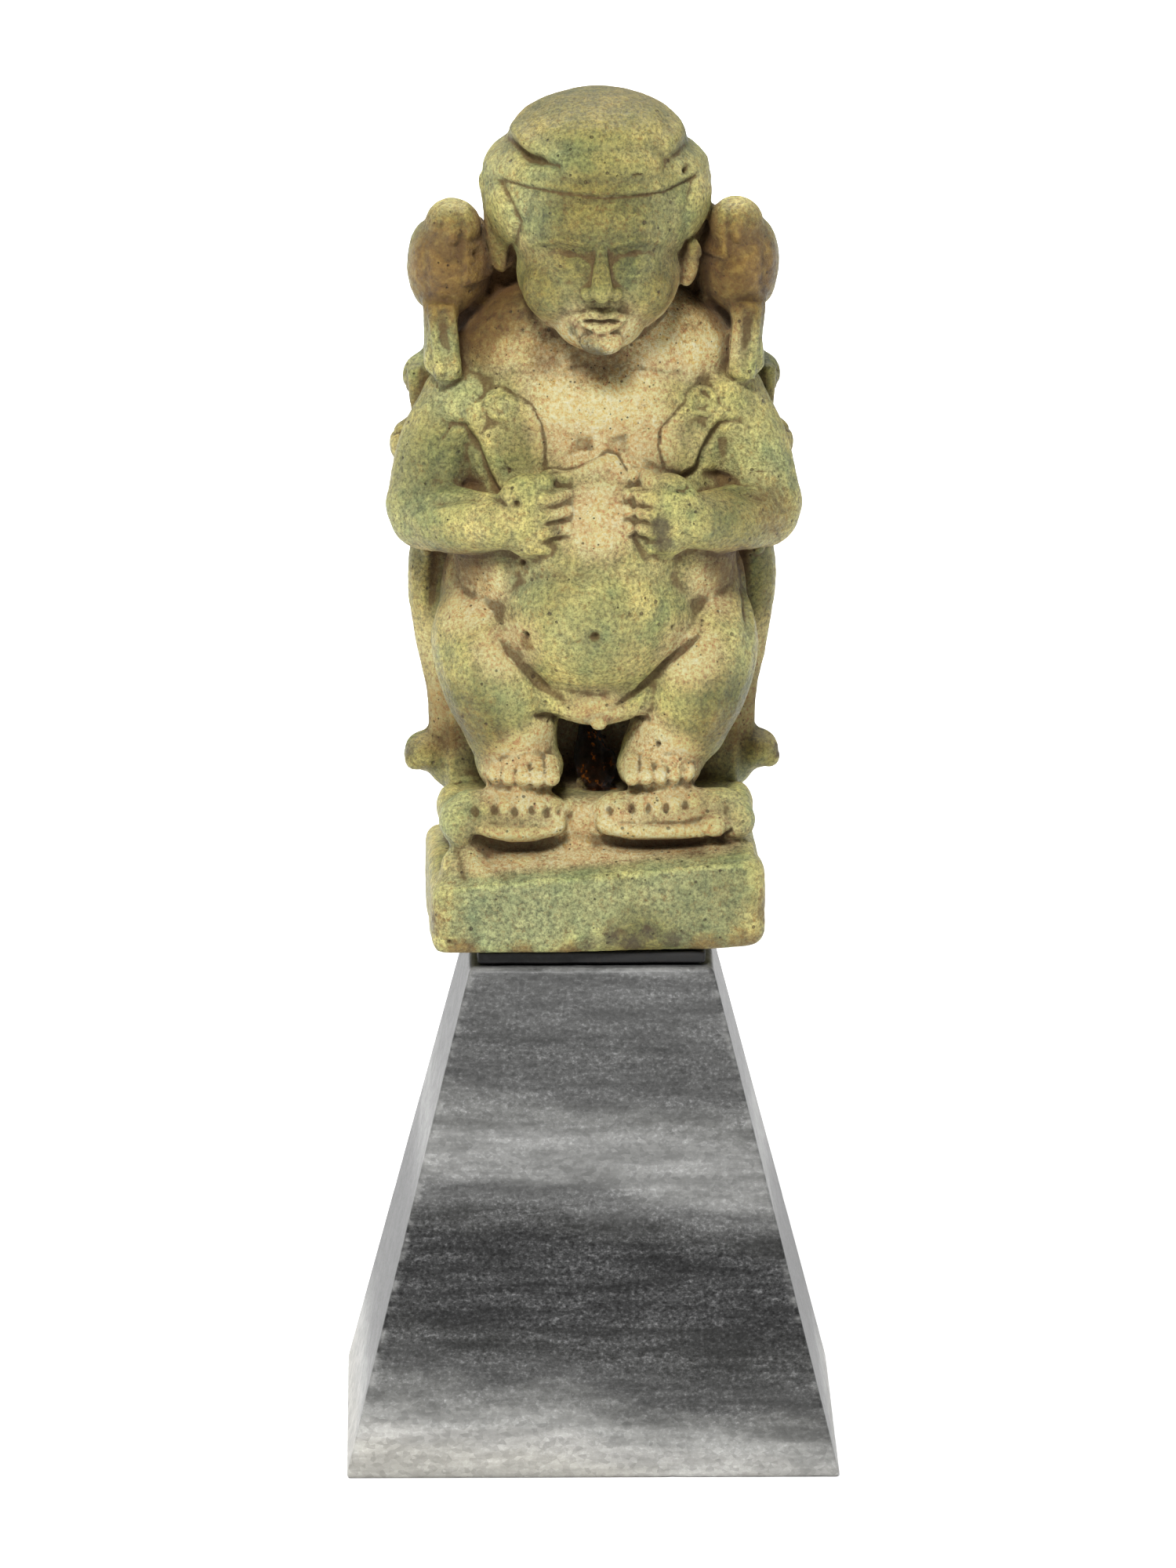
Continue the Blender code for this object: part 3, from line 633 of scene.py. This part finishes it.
# Scales on the crocodiles' backs, their lips and the small leg at the left.
for x, z in ((-12.6, 5.4), (-10.6, 5.6), (-8.6, 5.5), (-6.8, 5.6), (-5.2, 5.4), (-3.9, 5.5),
             (1.2, 5.5), (3.5, 5.7), (5.1, 5.8), (7.0, 5.8), (9.0, 6.0)):
    carve([(x, z + 0.4)], 0.5, 0.45, behind=-5)
    carve([(x + 0.9, z + 0.6)], 0.6, -0.35, behind=-5)
carve([(-12.4, 4.7), (-8.0, 4.6), (-4.0, 4.7)], 0.4, 0.2, behind=-6)
carve([(0.8, 4.7), (5.0, 4.7), (10.2, 4.7)], 0.4, 0.2, behind=-6)
carve([(-12.6, 1.9), (-8.0, 2.0), (-3.6, 2.1)], 0.7, 0.35)
carve([(0.2, 2.1), (5.0, 2.1), (10.6, 2.0)], 0.7, 0.35)
carve([(12.2, 4.1)], 1.1, -0.9, behind=-4)
carve([(12.2 + 1.6 * cos(t), 4.1 + 1.5 * sin(t)) for t in (-2.6, -1.9, -1.2, -0.5, 0.2)], 0.3, 0.45, behind=-3)
carve([(-13.6, 2.4), (-12.6, 0.7), (-11.0, -0.5)], 0.8, -0.8)
carve([(11.2, 2.2), (12.6, 0.9)], 0.8, -0.6)
# Bars below the falcons: a low rim round a sunk middle.
for side in SIDES:
    bar = [(side * (15.6 + a), z) for a, z in ((0.75, 57.0), (-0.35, 56.9), (-0.95, 50.4), (-0.1, 50.1))]
    plate(bar, -0.28, 0.5, behind=1)
    rim = [(side * (15.6 + a), z) for a, z in ((1.5, 57.4), (-1.1, 57.4), (-1.9, 49.8), (0.7, 49.6))]
    plate(rim, 0.35, 0.5, behind=1)
# Eyes and breast of the falcons, and the edge of the folded wing.
for side in SIDES:
    carve([(side * 13.3, 65.8)], 0.4, 0.25, behind=0)
    carve([(side * 15.9, 65.8)], 0.4, 0.25, behind=0)
    carve([(side * 12.4, 63.4), (side * 14.6, 62.4), (side * 16.6, 63.2)], 0.6, 0.3, behind=1)
    carve([(side * 17.4, 64.0), (side * 17.6, 60.6), (side * 17.2, 57.6)], 0.5, 0.3, behind=3)
# Large pores, and the chip in the plinth's front edge.
for x, z, width, depth in ((-7.5, 24.3, 0.3, 0.9), (-8.4, 38.3, 0.4, 1.0), (-9.0, 40.6, 0.22, 0.5),
                           (-7.7, 31.6, 0.25, 0.6), (7.7, 25.0, 0.2, 0.3), (-15.4, -7.0, 0.3, 0.5),
                           (3.2, 26.9, 0.15, 0.4), (6.2, 12.4, 0.28, 0.7), (-12.0, 62.6, 0.4, 0.6),
                           (-3.1, 16.4, 0.2, 0.5), (-4.9, 14.6, 0.15, 0.4), (2.0, -0.6, 0.3, 0.4)):
    carve([(x, z)], width, depth)
carve([(-16.0, -0.7), (16.0, -0.7)], 0.4, -0.3, behind=-11)
plate([(-2.4, -7.4), (-1.0, -6.6), (0.4, -7.0), (2.0, -6.0), (3.6, -6.5), (5.0, -5.7), (6.6, -6.6), (8.6, -6.4),
       (9.6, -7.8), (10.2, -9.5), (-3.2, -9.5)], -0.25, 1.2)
# Goddesses: the gap between the legs, belt, eyes and the lines of the hair.
for side, seen_from in ((-1, "left"), (1, "right")):
    carve([(5.4, 9.0), (5.4, 24.0)], 0.35, 0.5, seen_from)
    carve([(3.2, 33.0), (7.6, 33.0)], 0.3, 0.35, seen_from)
    carve([(3.4, 43.4), (5.6, 42.4), (8.0, 43.4)], 0.3, 0.35, seen_from)
    for fore in (-1, 1):
        carve([(6.2 + fore * 0.9, 48.9)], 0.35, 0.3, seen_from)
    carve([(5.6, 47.4), (6.8, 47.4)], 0.2, 0.25, seen_from)
carve([(-3.0, 34.0), (3.0, 34.0)], 0.3, 0.35, "back")
for side in SIDES:
    for feather in range(6):
        t = (feather + 0.5) / 6
        carve([(side * (3.8 + 9.2 * t), 41.0 - 3.0 * t), (side * (5.0 + 9.2 * t), 21.0 - 6.0 * t)], 0.25, 0.3, "back")

# The whole skin is a little lumpy and worn, and the plinth dips at its left front edge.
wear = 0.06 * speckle(points, 2.4, 5) + 0.03 * speckle(points, 0.8, 6) + 0.12 * speckle(points, 6.0, 7)
points -= normals * wear[:, None]
plinth_skew = 1.35
lean = np.clip((points[:, 2] + 8.0) / 5.0, 0, 1) * np.clip((3.2 - points[:, 2]) / 3.0, 0, 1)
forward = np.clip(-points[:, 1] / 13.0, 0, 1)
points[:, 2] += plinth_skew * points[:, 0] / 17.0 * lean * forward
worn_corner = np.clip(points[:, 0] / 17.0, 0, 1) * np.clip(-points[:, 1] / 13.0 - 0.5, 0, 0.5) * 2
points[:, 2] += 1.0 * worn_corner * np.clip((-5.0 - points[:, 2]) / 3.0, 0, 1)
write_points(figure, points)

# Fewer faces, but no less shape.
thinner = figure.modifiers.new("fewer faces", "DECIMATE")
thinner.ratio = min(1.0, most_faces / (2 * len(figure.data.polygons)))
bpy.ops.object.modifier_apply(modifier=thinner.name)
points = read_points(figure)
points[:, 2] = np.maximum(points[:, 2], -plinth_height)

# Where the piece is hollow, sheltered or standing out, read from its own shape: for earth and wear, and for painted
# shade in the hollows and painted highlight on the crests.
total = len(points)
flat = np.empty(total * 3)
figure.data.vertex_normals.foreach_get("vector", flat)
normals = flat.reshape(-1, 3)
flat = np.empty(len(figure.data.edges) * 2, dtype=np.int32)
figure.data.edges.foreach_get("vertices", flat)
ends = flat.reshape(-1, 2)
one, other = ends[:, 0], ends[:, 1]
neighbours = (np.bincount(one, minlength=total) + np.bincount(other, minlength=total))[:, None]


def relaxed(values, passes):
    """Values at the vertices, averaged over the neighbours that many times."""
    for _ in range(passes):
        columns = [np.bincount(one, weights=v[other], minlength=total)
                   + np.bincount(other, weights=v[one], minlength=total) for v in values.T]
        values = np.stack(columns, axis=1) / neighbours
    return values


def store(name, values):
    made = figure.data.attributes.new(name, "FLOAT", "POINT")
    made.data.foreach_set("value", np.clip(values, 0, 1).astype(np.float32))


dent = np.sum((relaxed(points, 8) - points) * normals, axis=1)
store("hollow", dent / deepest_dent)
store("crest", -dent / deepest_dent)

tree_of_skin = BVHTree.FromPolygons([Vector(p) for p in points], [p.vertices[:] for p in figure.data.polygons])
rays = [Vector((cos(a) * r, sin(a) * r, (1 - r * r) ** 0.5)) for r, turns in ((0.35, 3), (0.8, 6))
        for a in [2 * pi * i / turns + r for i in range(turns)]]
shelter = np.zeros(total)
for i in range(total):
    normal = Vector(normals[i])
    frame_of_normal = normal.to_track_quat("Z", "Y")
    start = Vector(points[i]) + normal * 0.05
    for ray in rays:
        shelter[i] += tree_of_skin.ray_cast(start, frame_of_normal @ ray, shelter_reach)[0] is not None
shelter = relaxed((shelter / len(rays))[:, None], 3)[:, 0]
store("shelter", shelter)


def patches(name, spots, where=1.0):
    """Paints soft round spots (x, y, z, reach, strength) into one attribute."""
    painted = np.zeros(total)
    for x, y, z, reach, strength in spots:
        away = np.linalg.norm(points - np.array((x, y, z)), axis=1)
        painted = np.maximum(painted, strength * np.clip(1.5 - away / reach, 0, 1))
    store(name, painted * where)


# The bare cream core shows on the chest, the flanks, round the feet and on the plinth's top.
above_edge = np.clip((points[:, 2] + 0.3 - plinth_skew * points[:, 0] / 17.0) / 1.2, 0, 1)
patches("cream", [
    (-9, -3, 54, 4.5, 0.8), (9, -3, 56, 6.5, 1.2), (0, -7, 47, 7, 1.2), (3, -7.5, 44, 6, 1),
    (0, -6, 52, 8, 1.2), (-13, -6, 28, 5, 0.9), (-15, -2, 31, 4, 0.9), (13, -7, 29, 4.5, 0.8),
    (15, -2, 31, 4, 0.7), (-15, 2, 14, 5, 0.9), (15, 2, 14, 5, 0.8), (0, -11, 1, 8, 1), (-9, -11.5, 0, 6, 0.9),
    (9, -11, 1, 7, 0.9), (-1.5, -9, 4, 3, 1), (-7.7, -9, 10, 4, 1.1), (6.8, -9, 10, 4.4, 1.1),
    (5.0, -8.5, 13, 3.5, 0.85), (-5.4, -8.5, 13, 2.6, 0.8), (0, -9, 15.5, 4, 0.75), (4, -12, 22, 4.5, 0.35),
    (-9, -9, 33, 3, 0.4), (11, -6, 43, 3, 0.5), (-8, -7, 43, 3, 0.35), (8.8, -9, 63, 2.5, 0.6),
    (-8.6, -8, 64, 2.4, 0.5), (17, 3, 20, 5, 0.6), (-17, 3, 20, 5, 0.6), (12, -9, 38, 3, 0.4),
    (0, 2, 9, 6, 0.7), (0, -12.6, 37, 5, 1), (-8, -9, 9, 4.4, 1.2), (6.6, -9, 9, 4.6, 1.2),
    (-9.6, -10, 23, 4.2, 0.75), (9.8, -10, 22, 4.4, 0.75), (10.5, 1.5, 58, 3, 0.8), (-10, -12, 38, 2.6, 0.4),
    (-12.6, -8, 47.6, 3, 0.45),
], above_edge)
# The glaze has stayed blue-green where it lay thick.
patches("teal", [
    (-16, -3, 40, 4.5, 0.85), (-14, -3, 47.5, 3.4, 0.7), (-19, -2, 36, 4, 0.5), (-1, -13.5, 26, 5, 0.55),
    (-7, -9, 29, 4, 0.7), (-7, -10, 68, 3.6, 0.9), (4, -12, 67, 5, 0.7), (-10, -5, 72.5, 3, 0.7),
    (-5, -9, 73, 3, 0.6), (9, -6, 73, 3, 0.5), (-11, -9, 18, 3.6, 0.8), (12.5, -8, 18, 4, 0.8),
    (14, -6, 23, 3, 0.6), (-9, -13, -4, 7, 1), (9, -13, -4, 7, 0.9), (0, -13.4, -4, 5, 0.7),
    (-14, -8, 4, 3.6, 0.9), (13, -9, 4, 3, 0.9), (5, -11.5, 4, 3.6, 0.6), (-8, -11.5, 4, 3.6, 0.6),
    (0, -11, 57, 3.0, 0.55), (-4, -10, 56, 2.6, 0.6), (17, -4, 41, 4, 0.5), (12, -7, 46, 2.6, 0.5),
    (-9.8, -7, 47.3, 1.8, 0.7), (0, -11.6, 64.8, 2.6, 0.7), (-17, 6, 52, 5, 0.6), (17, 6, 52, 5, 0.6),
    (0, 10, 40, 14, 0.5), (17, 6, 30, 6, 0.45), (-3.9, -13, 38.6, 2.0, 0.5), (8, -8, 35, 2.5, 0.5),
    (-15.6, -4, 54, 2.4, 0.5), (15.6, -4, 54, 2.4, 0.5),
])
# Rusty earth in the joints and on the falcons, olive on the crown and the right elbow, and painted shadow of the head
# in brown under the chin.
patches("rust_and_chin_shadow", [
    (-14.8, -3, 61, 6.5, 1.0), (14.8, -3, 61, 6.5, 1.0), (-11, 0.5, 56.5, 4.5, 1.3),
    (-10.5, -1, 52.6, 3.0, 1.1), (-11.4, -1.5, 55.4, 3.4, 1.3), (-8, -3, 57, 4, 0.9),
    (-14, -13, -8.6, 2.4, 0.9), (-8, -13.2, -9, 2.0, 0.9), (-3, -13.2, -9, 2, 0.9), (11, -13, -8.6, 2.6, 0.9),
    (15, -13, -7.8, 2.4, 0.8), (-17, -12, -5, 2.4, 0.7), (17, -12, -4, 2.6, 0.7), (9.5, -2.5, 56, 3.0, 0.7),
    (12.2, -1, 57, 2.8, 0.9), (-9, 0, 60, 3.4, 0.8), (-7.5, -8, 31.4, 2.6, 0.7), (-9.4, -9, 26, 2, 0.5),
    (18, -5, 36, 4, 0.7), (14, -8, 37, 3, 0.4), (-16.4, 0, 30, 2.2, 1), (15.4, 0, 30, 2, 1),
    (-15.5, 1, 11, 2.6, 1), (15, 1, 11, 2.4, 0.8), (0, -9, 73, 5, 0.35), (1, -3, 79, 8, 0.3),
    (-5.6, -12, 5, 1.6, 0.5), (10, -10, 0.6, 3, 0.6), (13, -12, -2, 3, 0.5), (0, -9.4, 70.2, 3, 0.5),
    (9.8, -4, 61, 2.6, 0.7), (0, -6, 53, 4.5, 0.9), (-5, -5, 53, 3.5, 0.8), (-13, -5, 31, 4, 0.9),
    (13.5, -5, 31, 4, 0.9), (12, -8, 2, 2, 0.6), (-18.6, 4, 46, 3, 0.5), (-7.4, -10.5, 23.4, 1.2, 0.9),
    (9, -13.4, -6, 3, 0.4), (-15, -12, -3, 2, 0.7), (12, -7, 41, 2.0, 0.5), (-1, 2, 8, 4, 0.8),
    (-3.4, -3, 11, 2.4, 0.9), (0, -11.8, 67, 7, 0.4), (-6, -10, 60, 4, 0.45), (6, -10, 60, 3, 0.4),
    (-12, -8, 15.6, 4, 0.5), (12, -8, 15.6, 4, 0.5), (-14.6, -2, 67.4, 3, 0.4), (14.6, -2, 67.4, 3, 0.4),
    (-13.5, 2, 60, 4, 0.8), (3.0, -5, 7.6, 1.8, 1),
])
# Grey-black wear on the hands, the chin and the plinth's chip, and painted shade in grey-black on the undersides of the
# arms.
patches("soot_and_underarm_shade", [
    (-3.7, -12.8, 37.1, 1.0, 1), (-4.2, -12.6, 35.4, 1.2, 0.9), (6.4, -12.4, 35.8, 1.4, 1),
    (6.6, -12, 34, 1.4, 0.9), (-1.0, -13.4, -7.9, 1.1, 0.8), (1.3, -13.4, -7.0, 1.4, 0.8),
    (3.6, -13.4, -7.9, 1.6, 0.9), (5.2, -13.4, -6.4, 1.2, 0.8), (7.6, -13.4, -7.5, 1.6, 0.8),
    (9.2, -13.4, -6.4, 0.9, 0.7), (-18.6, 4, 9, 1.4, 0.8), (19.4, 4, 9, 1.2, 0.9), (-15, -5, 31.8, 2.6, 0.55),
    (-10, -8.6, 32.6, 2, 0.5), (16, -5, 31.8, 2.4, 0.5), (-0.6, -11, 53.8, 2.0, 1), (-3, -11, 55.8, 1.4, 0.9),
    (-3.6, -10.8, 57.8, 0.8, 0.8), (-4.0, -9.8, 73.2, 1.0, 0.5), (-11.8, 0, 64, 2, 0.6),
    (11.8, 0, 65, 1.6, 0.6), (-16, -11, -1.4, 1.2, 0.5), (12.4, -11, 3, 1.2, 0.5), (-15.8, -3.6, 50, 1.2, 0.7),
])
patches("shade", [
    (0, -12, 67, 7, 1), (-7, -9, 60, 4, 0.9), (7, -9, 60, 4, 0.8), (-15, -3, 61, 6, 1), (15, -3, 61, 6, 1),
    (-16, -3, 41, 5, 0.7), (14, -8, 36, 4.5, 0.6), (0, -13.5, 25.5, 5, 0.45), (-5, -12, 29, 4, 0.5),
    (-13, -8.5, 15.5, 4.5, 1), (13, -8.5, 15.5, 4.5, 1), (-16.5, 0, 28, 5, 0.7), (16.5, 0, 28, 6, 0.7),
    (-10, -10, 4, 4, 0.4), (10, -10, 4, 4, 0.4), (-8.5, -8, 43, 3.2, 0.6), (-3, -9.5, 71.6, 4, 0.4),
    (6, -9, 71.8, 4, 0.5), (12, -12, -4, 6, 0.4), (-16, 5, 45, 6, 0.8), (17, 5, 45, 6, 0.8),
    (-17, 5, 12, 6, 0.7), (17, 5, 12, 6, 0.7), (0, -2, 80, 9, 1.1), (-8, -4, 76, 5, 0.6), (8, -4, 76, 5, 0.6),
    (-11, 0, 56, 5, 1), (7, -9, 43, 3, 0.3), (-14, -6, 33, 4, 0.5), (15, -8, 40.5, 3.4, 0.5),
    (4.6, -13.4, -7.6, 4, 0.8), (0, -10, 16, 3, 0.4),
])
patches("resin", [(-0.3, -1.4, 9.6, 2.8, 1), (-0.2, -1.4, 11.6, 2.0, 1), (0.4, -2, 7.6, 2.2, 1)])

# Down onto the stand.
turn_cos, turn_sin = cos(dwarf_turn), sin(dwarf_turn)
placed = points.copy()
placed[:, 0] = (points[:, 0] * turn_cos - points[:, 1] * turn_sin + dwarf_sidestep) * MM
placed[:, 1] = (points[:, 0] * turn_sin + points[:, 1] * turn_cos) * MM
placed[:, 2] = points[:, 2] * MM + figure_low.z + plinth_height * MM
write_points(figure, placed)
bpy.ops.object.shade_smooth()

faience, tree, mm, shader = new_finish("worn_green_faience")
cloudy = noise_at(tree, mm, 0.22, 5, 0.6)
mottle = noise_at(tree, mm, 0.9, 5, 0.65)
grit = noise_at(tree, mm, 2.6, 5, 0.8)
specks = noise_at(tree, mm, 1.7, 7, 0.85)


def ragged(name, low, high, breakup=0.7, by=None):
    """A painted attribute with its edge broken up by a noise, from 0 to 1."""
    noisy = sums(tree, "SUBTRACT", by or specks, 0.5)
    broken = sums(tree, "ADD", attribute(tree, name), sums(tree, "MULTIPLY", noisy, breakup))
    return ramp(tree, broken, [(low, 0.0), (high, 1.0)])


glaze = ramp(tree, cloudy, [(0.32, (118, 122, 77)), (0.48, (143, 138, 86)), (0.66, (166, 155, 98))])
thick = ramp(tree, mottle, [(0.34, (100, 120, 92)), (0.66, (138, 148, 110))])
core = ramp(tree, mottle, [(0.30, (222, 192, 134)), (0.48, (236, 208, 148)), (0.68, (242, 218, 160))])
earth_and_shadow_brown = ramp(tree, mottle, [(0.34, (70, 44, 18)), (0.5, (100, 72, 34)), (0.68, (128, 102, 52))])
colour = mix(tree, sums(tree, "MULTIPLY", ragged("teal", 0.0, 1.2, 0.5, grit), 0.5), glaze, thick)
sheltered = sums(tree, "MULTIPLY", ragged("shelter", 0.4, 0.9), 0.4)
bare = sums(tree, "ADD", ragged("cream", 0.2, 1.0, 0.9), sheltered, clamp=True)
colour = mix(tree, sums(tree, "MULTIPLY", bare, 0.92), colour, core)
colour = mix(tree, 0.4, colour, ramp(tree, mottle, [(0.3, 0.36), (0.7, 0.62)]), "OVERLAY")
colour = mix(tree, 1.0, colour, ramp(tree, grit, [(0.3, 0.16), (0.7, 0.86)]), "OVERLAY")
stains = sums(tree, "MULTIPLY", ramp(tree, specks, [(0.52, 0.0), (0.62, 1.0)]),
              ramp(tree, cloudy, [(0.40, 0.1), (0.62, 0.7)]))
colour = mix(tree, sums(tree, "MULTIPLY", stains, 0.9), colour, (124, 84, 34))
colour = mix(tree, ragged("shade", 0.0, 1.1, 0.5, grit), colour, (182, 176, 148), "MULTIPLY")
# Earth brown, which under the chin is painted shadow of the head.
colour = mix(tree, sums(tree, "MULTIPLY", ragged("rust_and_chin_shadow", 0.3, 1.2, 1.4), 0.8), colour, earth_and_shadow_brown)
# Brown in the creases: partly earth lodged there, partly painted shade darkening the hollows.
crease_shade_and_earth = ragged("hollow", 0.2, 1.0, 0.5)
colour = mix(tree, sums(tree, "MULTIPLY", crease_shade_and_earth, 0.75), colour, (84, 60, 28))
# Darker brown where neighbouring clay shelters the skin: painted shade of the recesses, with some earth lodged there.
shelter_shade_and_earth = ramp(tree, attribute(tree, "shelter"), [(0.34, 0.0), (0.85, 1.0)])
colour = mix(tree, sums(tree, "MULTIPLY", shelter_shade_and_earth, 0.75), colour, (96, 66, 32))
# Lighter on the crests: partly glaze rubbed thin on the ridges, partly painted highlight.
colour = mix(tree, sums(tree, "MULTIPLY", ragged("crest", 0.2, 1.3, 0.6), 0.6), colour, (226, 224, 212), "OVERLAY")
# Grey-black: wear, and painted shade under the arms.
colour = mix(tree, sums(tree, "MULTIPLY", ragged("soot_and_underarm_shade", 0.35, 0.95, 1.4), 0.8), colour, (66, 56, 40))

# Small dark pores, closer together where the core is bare.
pores = []
for scale, share, size in ((0.8, 0.6, 0.13), (1.7, 0.45, 0.17)):
    cells = tree.nodes.new("ShaderNodeTexVoronoi")
    cells.inputs["Scale"].default_value = scale
    tree.links.new(mm, cells.inputs["Vector"])
    lot = tree.nodes.new("ShaderNodeSeparateColor")
    tree.links.new(cells.outputs["Color"], lot.inputs["Color"])
    chosen = sums(tree, "LESS_THAN", lot.outputs["Red"], share)
    edge = sums(tree, "MULTIPLY", lot.outputs["Green"], size)
    hole = ramp(tree, sums(tree, "SUBTRACT", cells.outputs["Distance"], edge), [(0.0, 1.0), (0.06, 0.0)])
    pores.append(sums(tree, "MULTIPLY", hole, chosen))
pore = sums(tree, "MAXIMUM", sums(tree, "MULTIPLY", pores[0], 0.8), sums(tree, "MULTIPLY", pores[1], bare))
colour = mix(tree, sums(tree, "MULTIPLY", pore, 0.8), colour, (56, 40, 20))
resin = ragged("resin", 0.3, 0.6, 0.6)
syrup = ramp(tree, mottle, [(0.42, (14, 8, 4)), (0.56, (40, 20, 8)), (0.68, (170, 98, 26))])
colour = mix(tree, resin, colour, syrup)
tree.links.new(colour, shader.inputs["Base Color"])

satin = ramp(tree, specks, [(0.35, 0.34), (0.6, 0.6)])
rough = mix(tree, bare, satin, ramp(tree, grit, [(0.3, 0.72), (0.7, 0.92)]))
rough = mix(tree, resin, rough, ramp(tree, mottle, [(0.4, 0.08), (0.6, 0.2)]))
tree.links.new(rough, shader.inputs["Roughness"])
relief = sums(tree, "SUBTRACT", sums(tree, "MULTIPLY", grit, sums(tree, "ADD", sums(tree, "MULTIPLY", bare, 1.1), 0.5)),
              sums(tree, "MULTIPLY", pore, 1.4))
relief = sums(tree, "ADD", relief, sums(tree, "MULTIPLY", mottle, 0.7))
roughen(tree, shader, relief, 1.0, 0.5 * MM)
figure.data.materials.append(faience)
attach(figure, "root")
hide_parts("pataikos_figure")

# The floor and the light.
# A floor of white paper, a soft lamp above the camera and a little to its left, a second one
# that whitens the paper behind the piece, and the even light of a white room.
bpy.ops.object.select_all(action="DESELECT")
bpy.ops.mesh.primitive_plane_add(size=6, location=(0, 0, 0))
floor = bpy.context.object
floor.name = "paper_floor"
paper, tree, mm, shader = new_finish("white_paper")
fibre = noise_at(tree, mm, 0.05, 4, 0.6)
tree.links.new(ramp(tree, fibre, [(0.3, 0.90), (0.7, 0.91)]), shader.inputs["Base Color"])
shader.inputs["Roughness"].default_value = 0.9
floor.data.materials.append(paper)


def soft_lamp(name, place, size, power, aim):
    lamp = bpy.data.lights.new(name, "AREA")
    lamp.shape = "RECTANGLE"
    lamp.size, lamp.size_y = size
    lamp.energy = power
    made = bpy.data.objects.new(name, lamp)
    made.location = place
    made.rotation_euler = (Vector(aim) - Vector(place)).to_track_quat("-Z", "Y").to_euler()
    bpy.context.scene.collection.objects.link(made)


soft_lamp("key", (-0.20, -0.90, 0.98), (0.32, 0.32), 23.0, (0, 0, 0.08))
soft_lamp("behind", (0, 0.95, 1.1), (1.6, 1.0), 44.0, (0, 1.3, 0))
room = bpy.data.worlds.new("white_room")
room.use_nodes = True
room.node_tree.nodes["Background"].inputs["Color"].default_value = (1, 1, 1, 1)
room.node_tree.nodes["Background"].inputs["Strength"].default_value = 0.18
bpy.context.scene.world = room
bpy.context.scene.view_settings.view_transform = "Standard"

# The camera.
# A long lens far off, a little above the piece, as in a studio record photograph.
camera_far = 1.524
camera_rise = radians(11.86)
camera_swing = radians(-0.77)
camera_aim = Vector((0, 0, 0.0672))
lens = bpy.data.cameras.new("long_lens")
lens.sensor_width = 36
lens.lens = 338.2
lens.shift_x = -0.00125
lens.shift_y = 0.002
camera = bpy.data.objects.new("camera", lens)
camera.location = camera_aim + camera_far * Vector((
    cos(camera_rise) * sin(camera_swing), -cos(camera_rise) * cos(camera_swing), sin(camera_rise)))
camera.rotation_euler = (pi / 2 - camera_rise, 0, camera_swing)
bpy.context.scene.collection.objects.link(camera)
bpy.context.scene.camera = camera
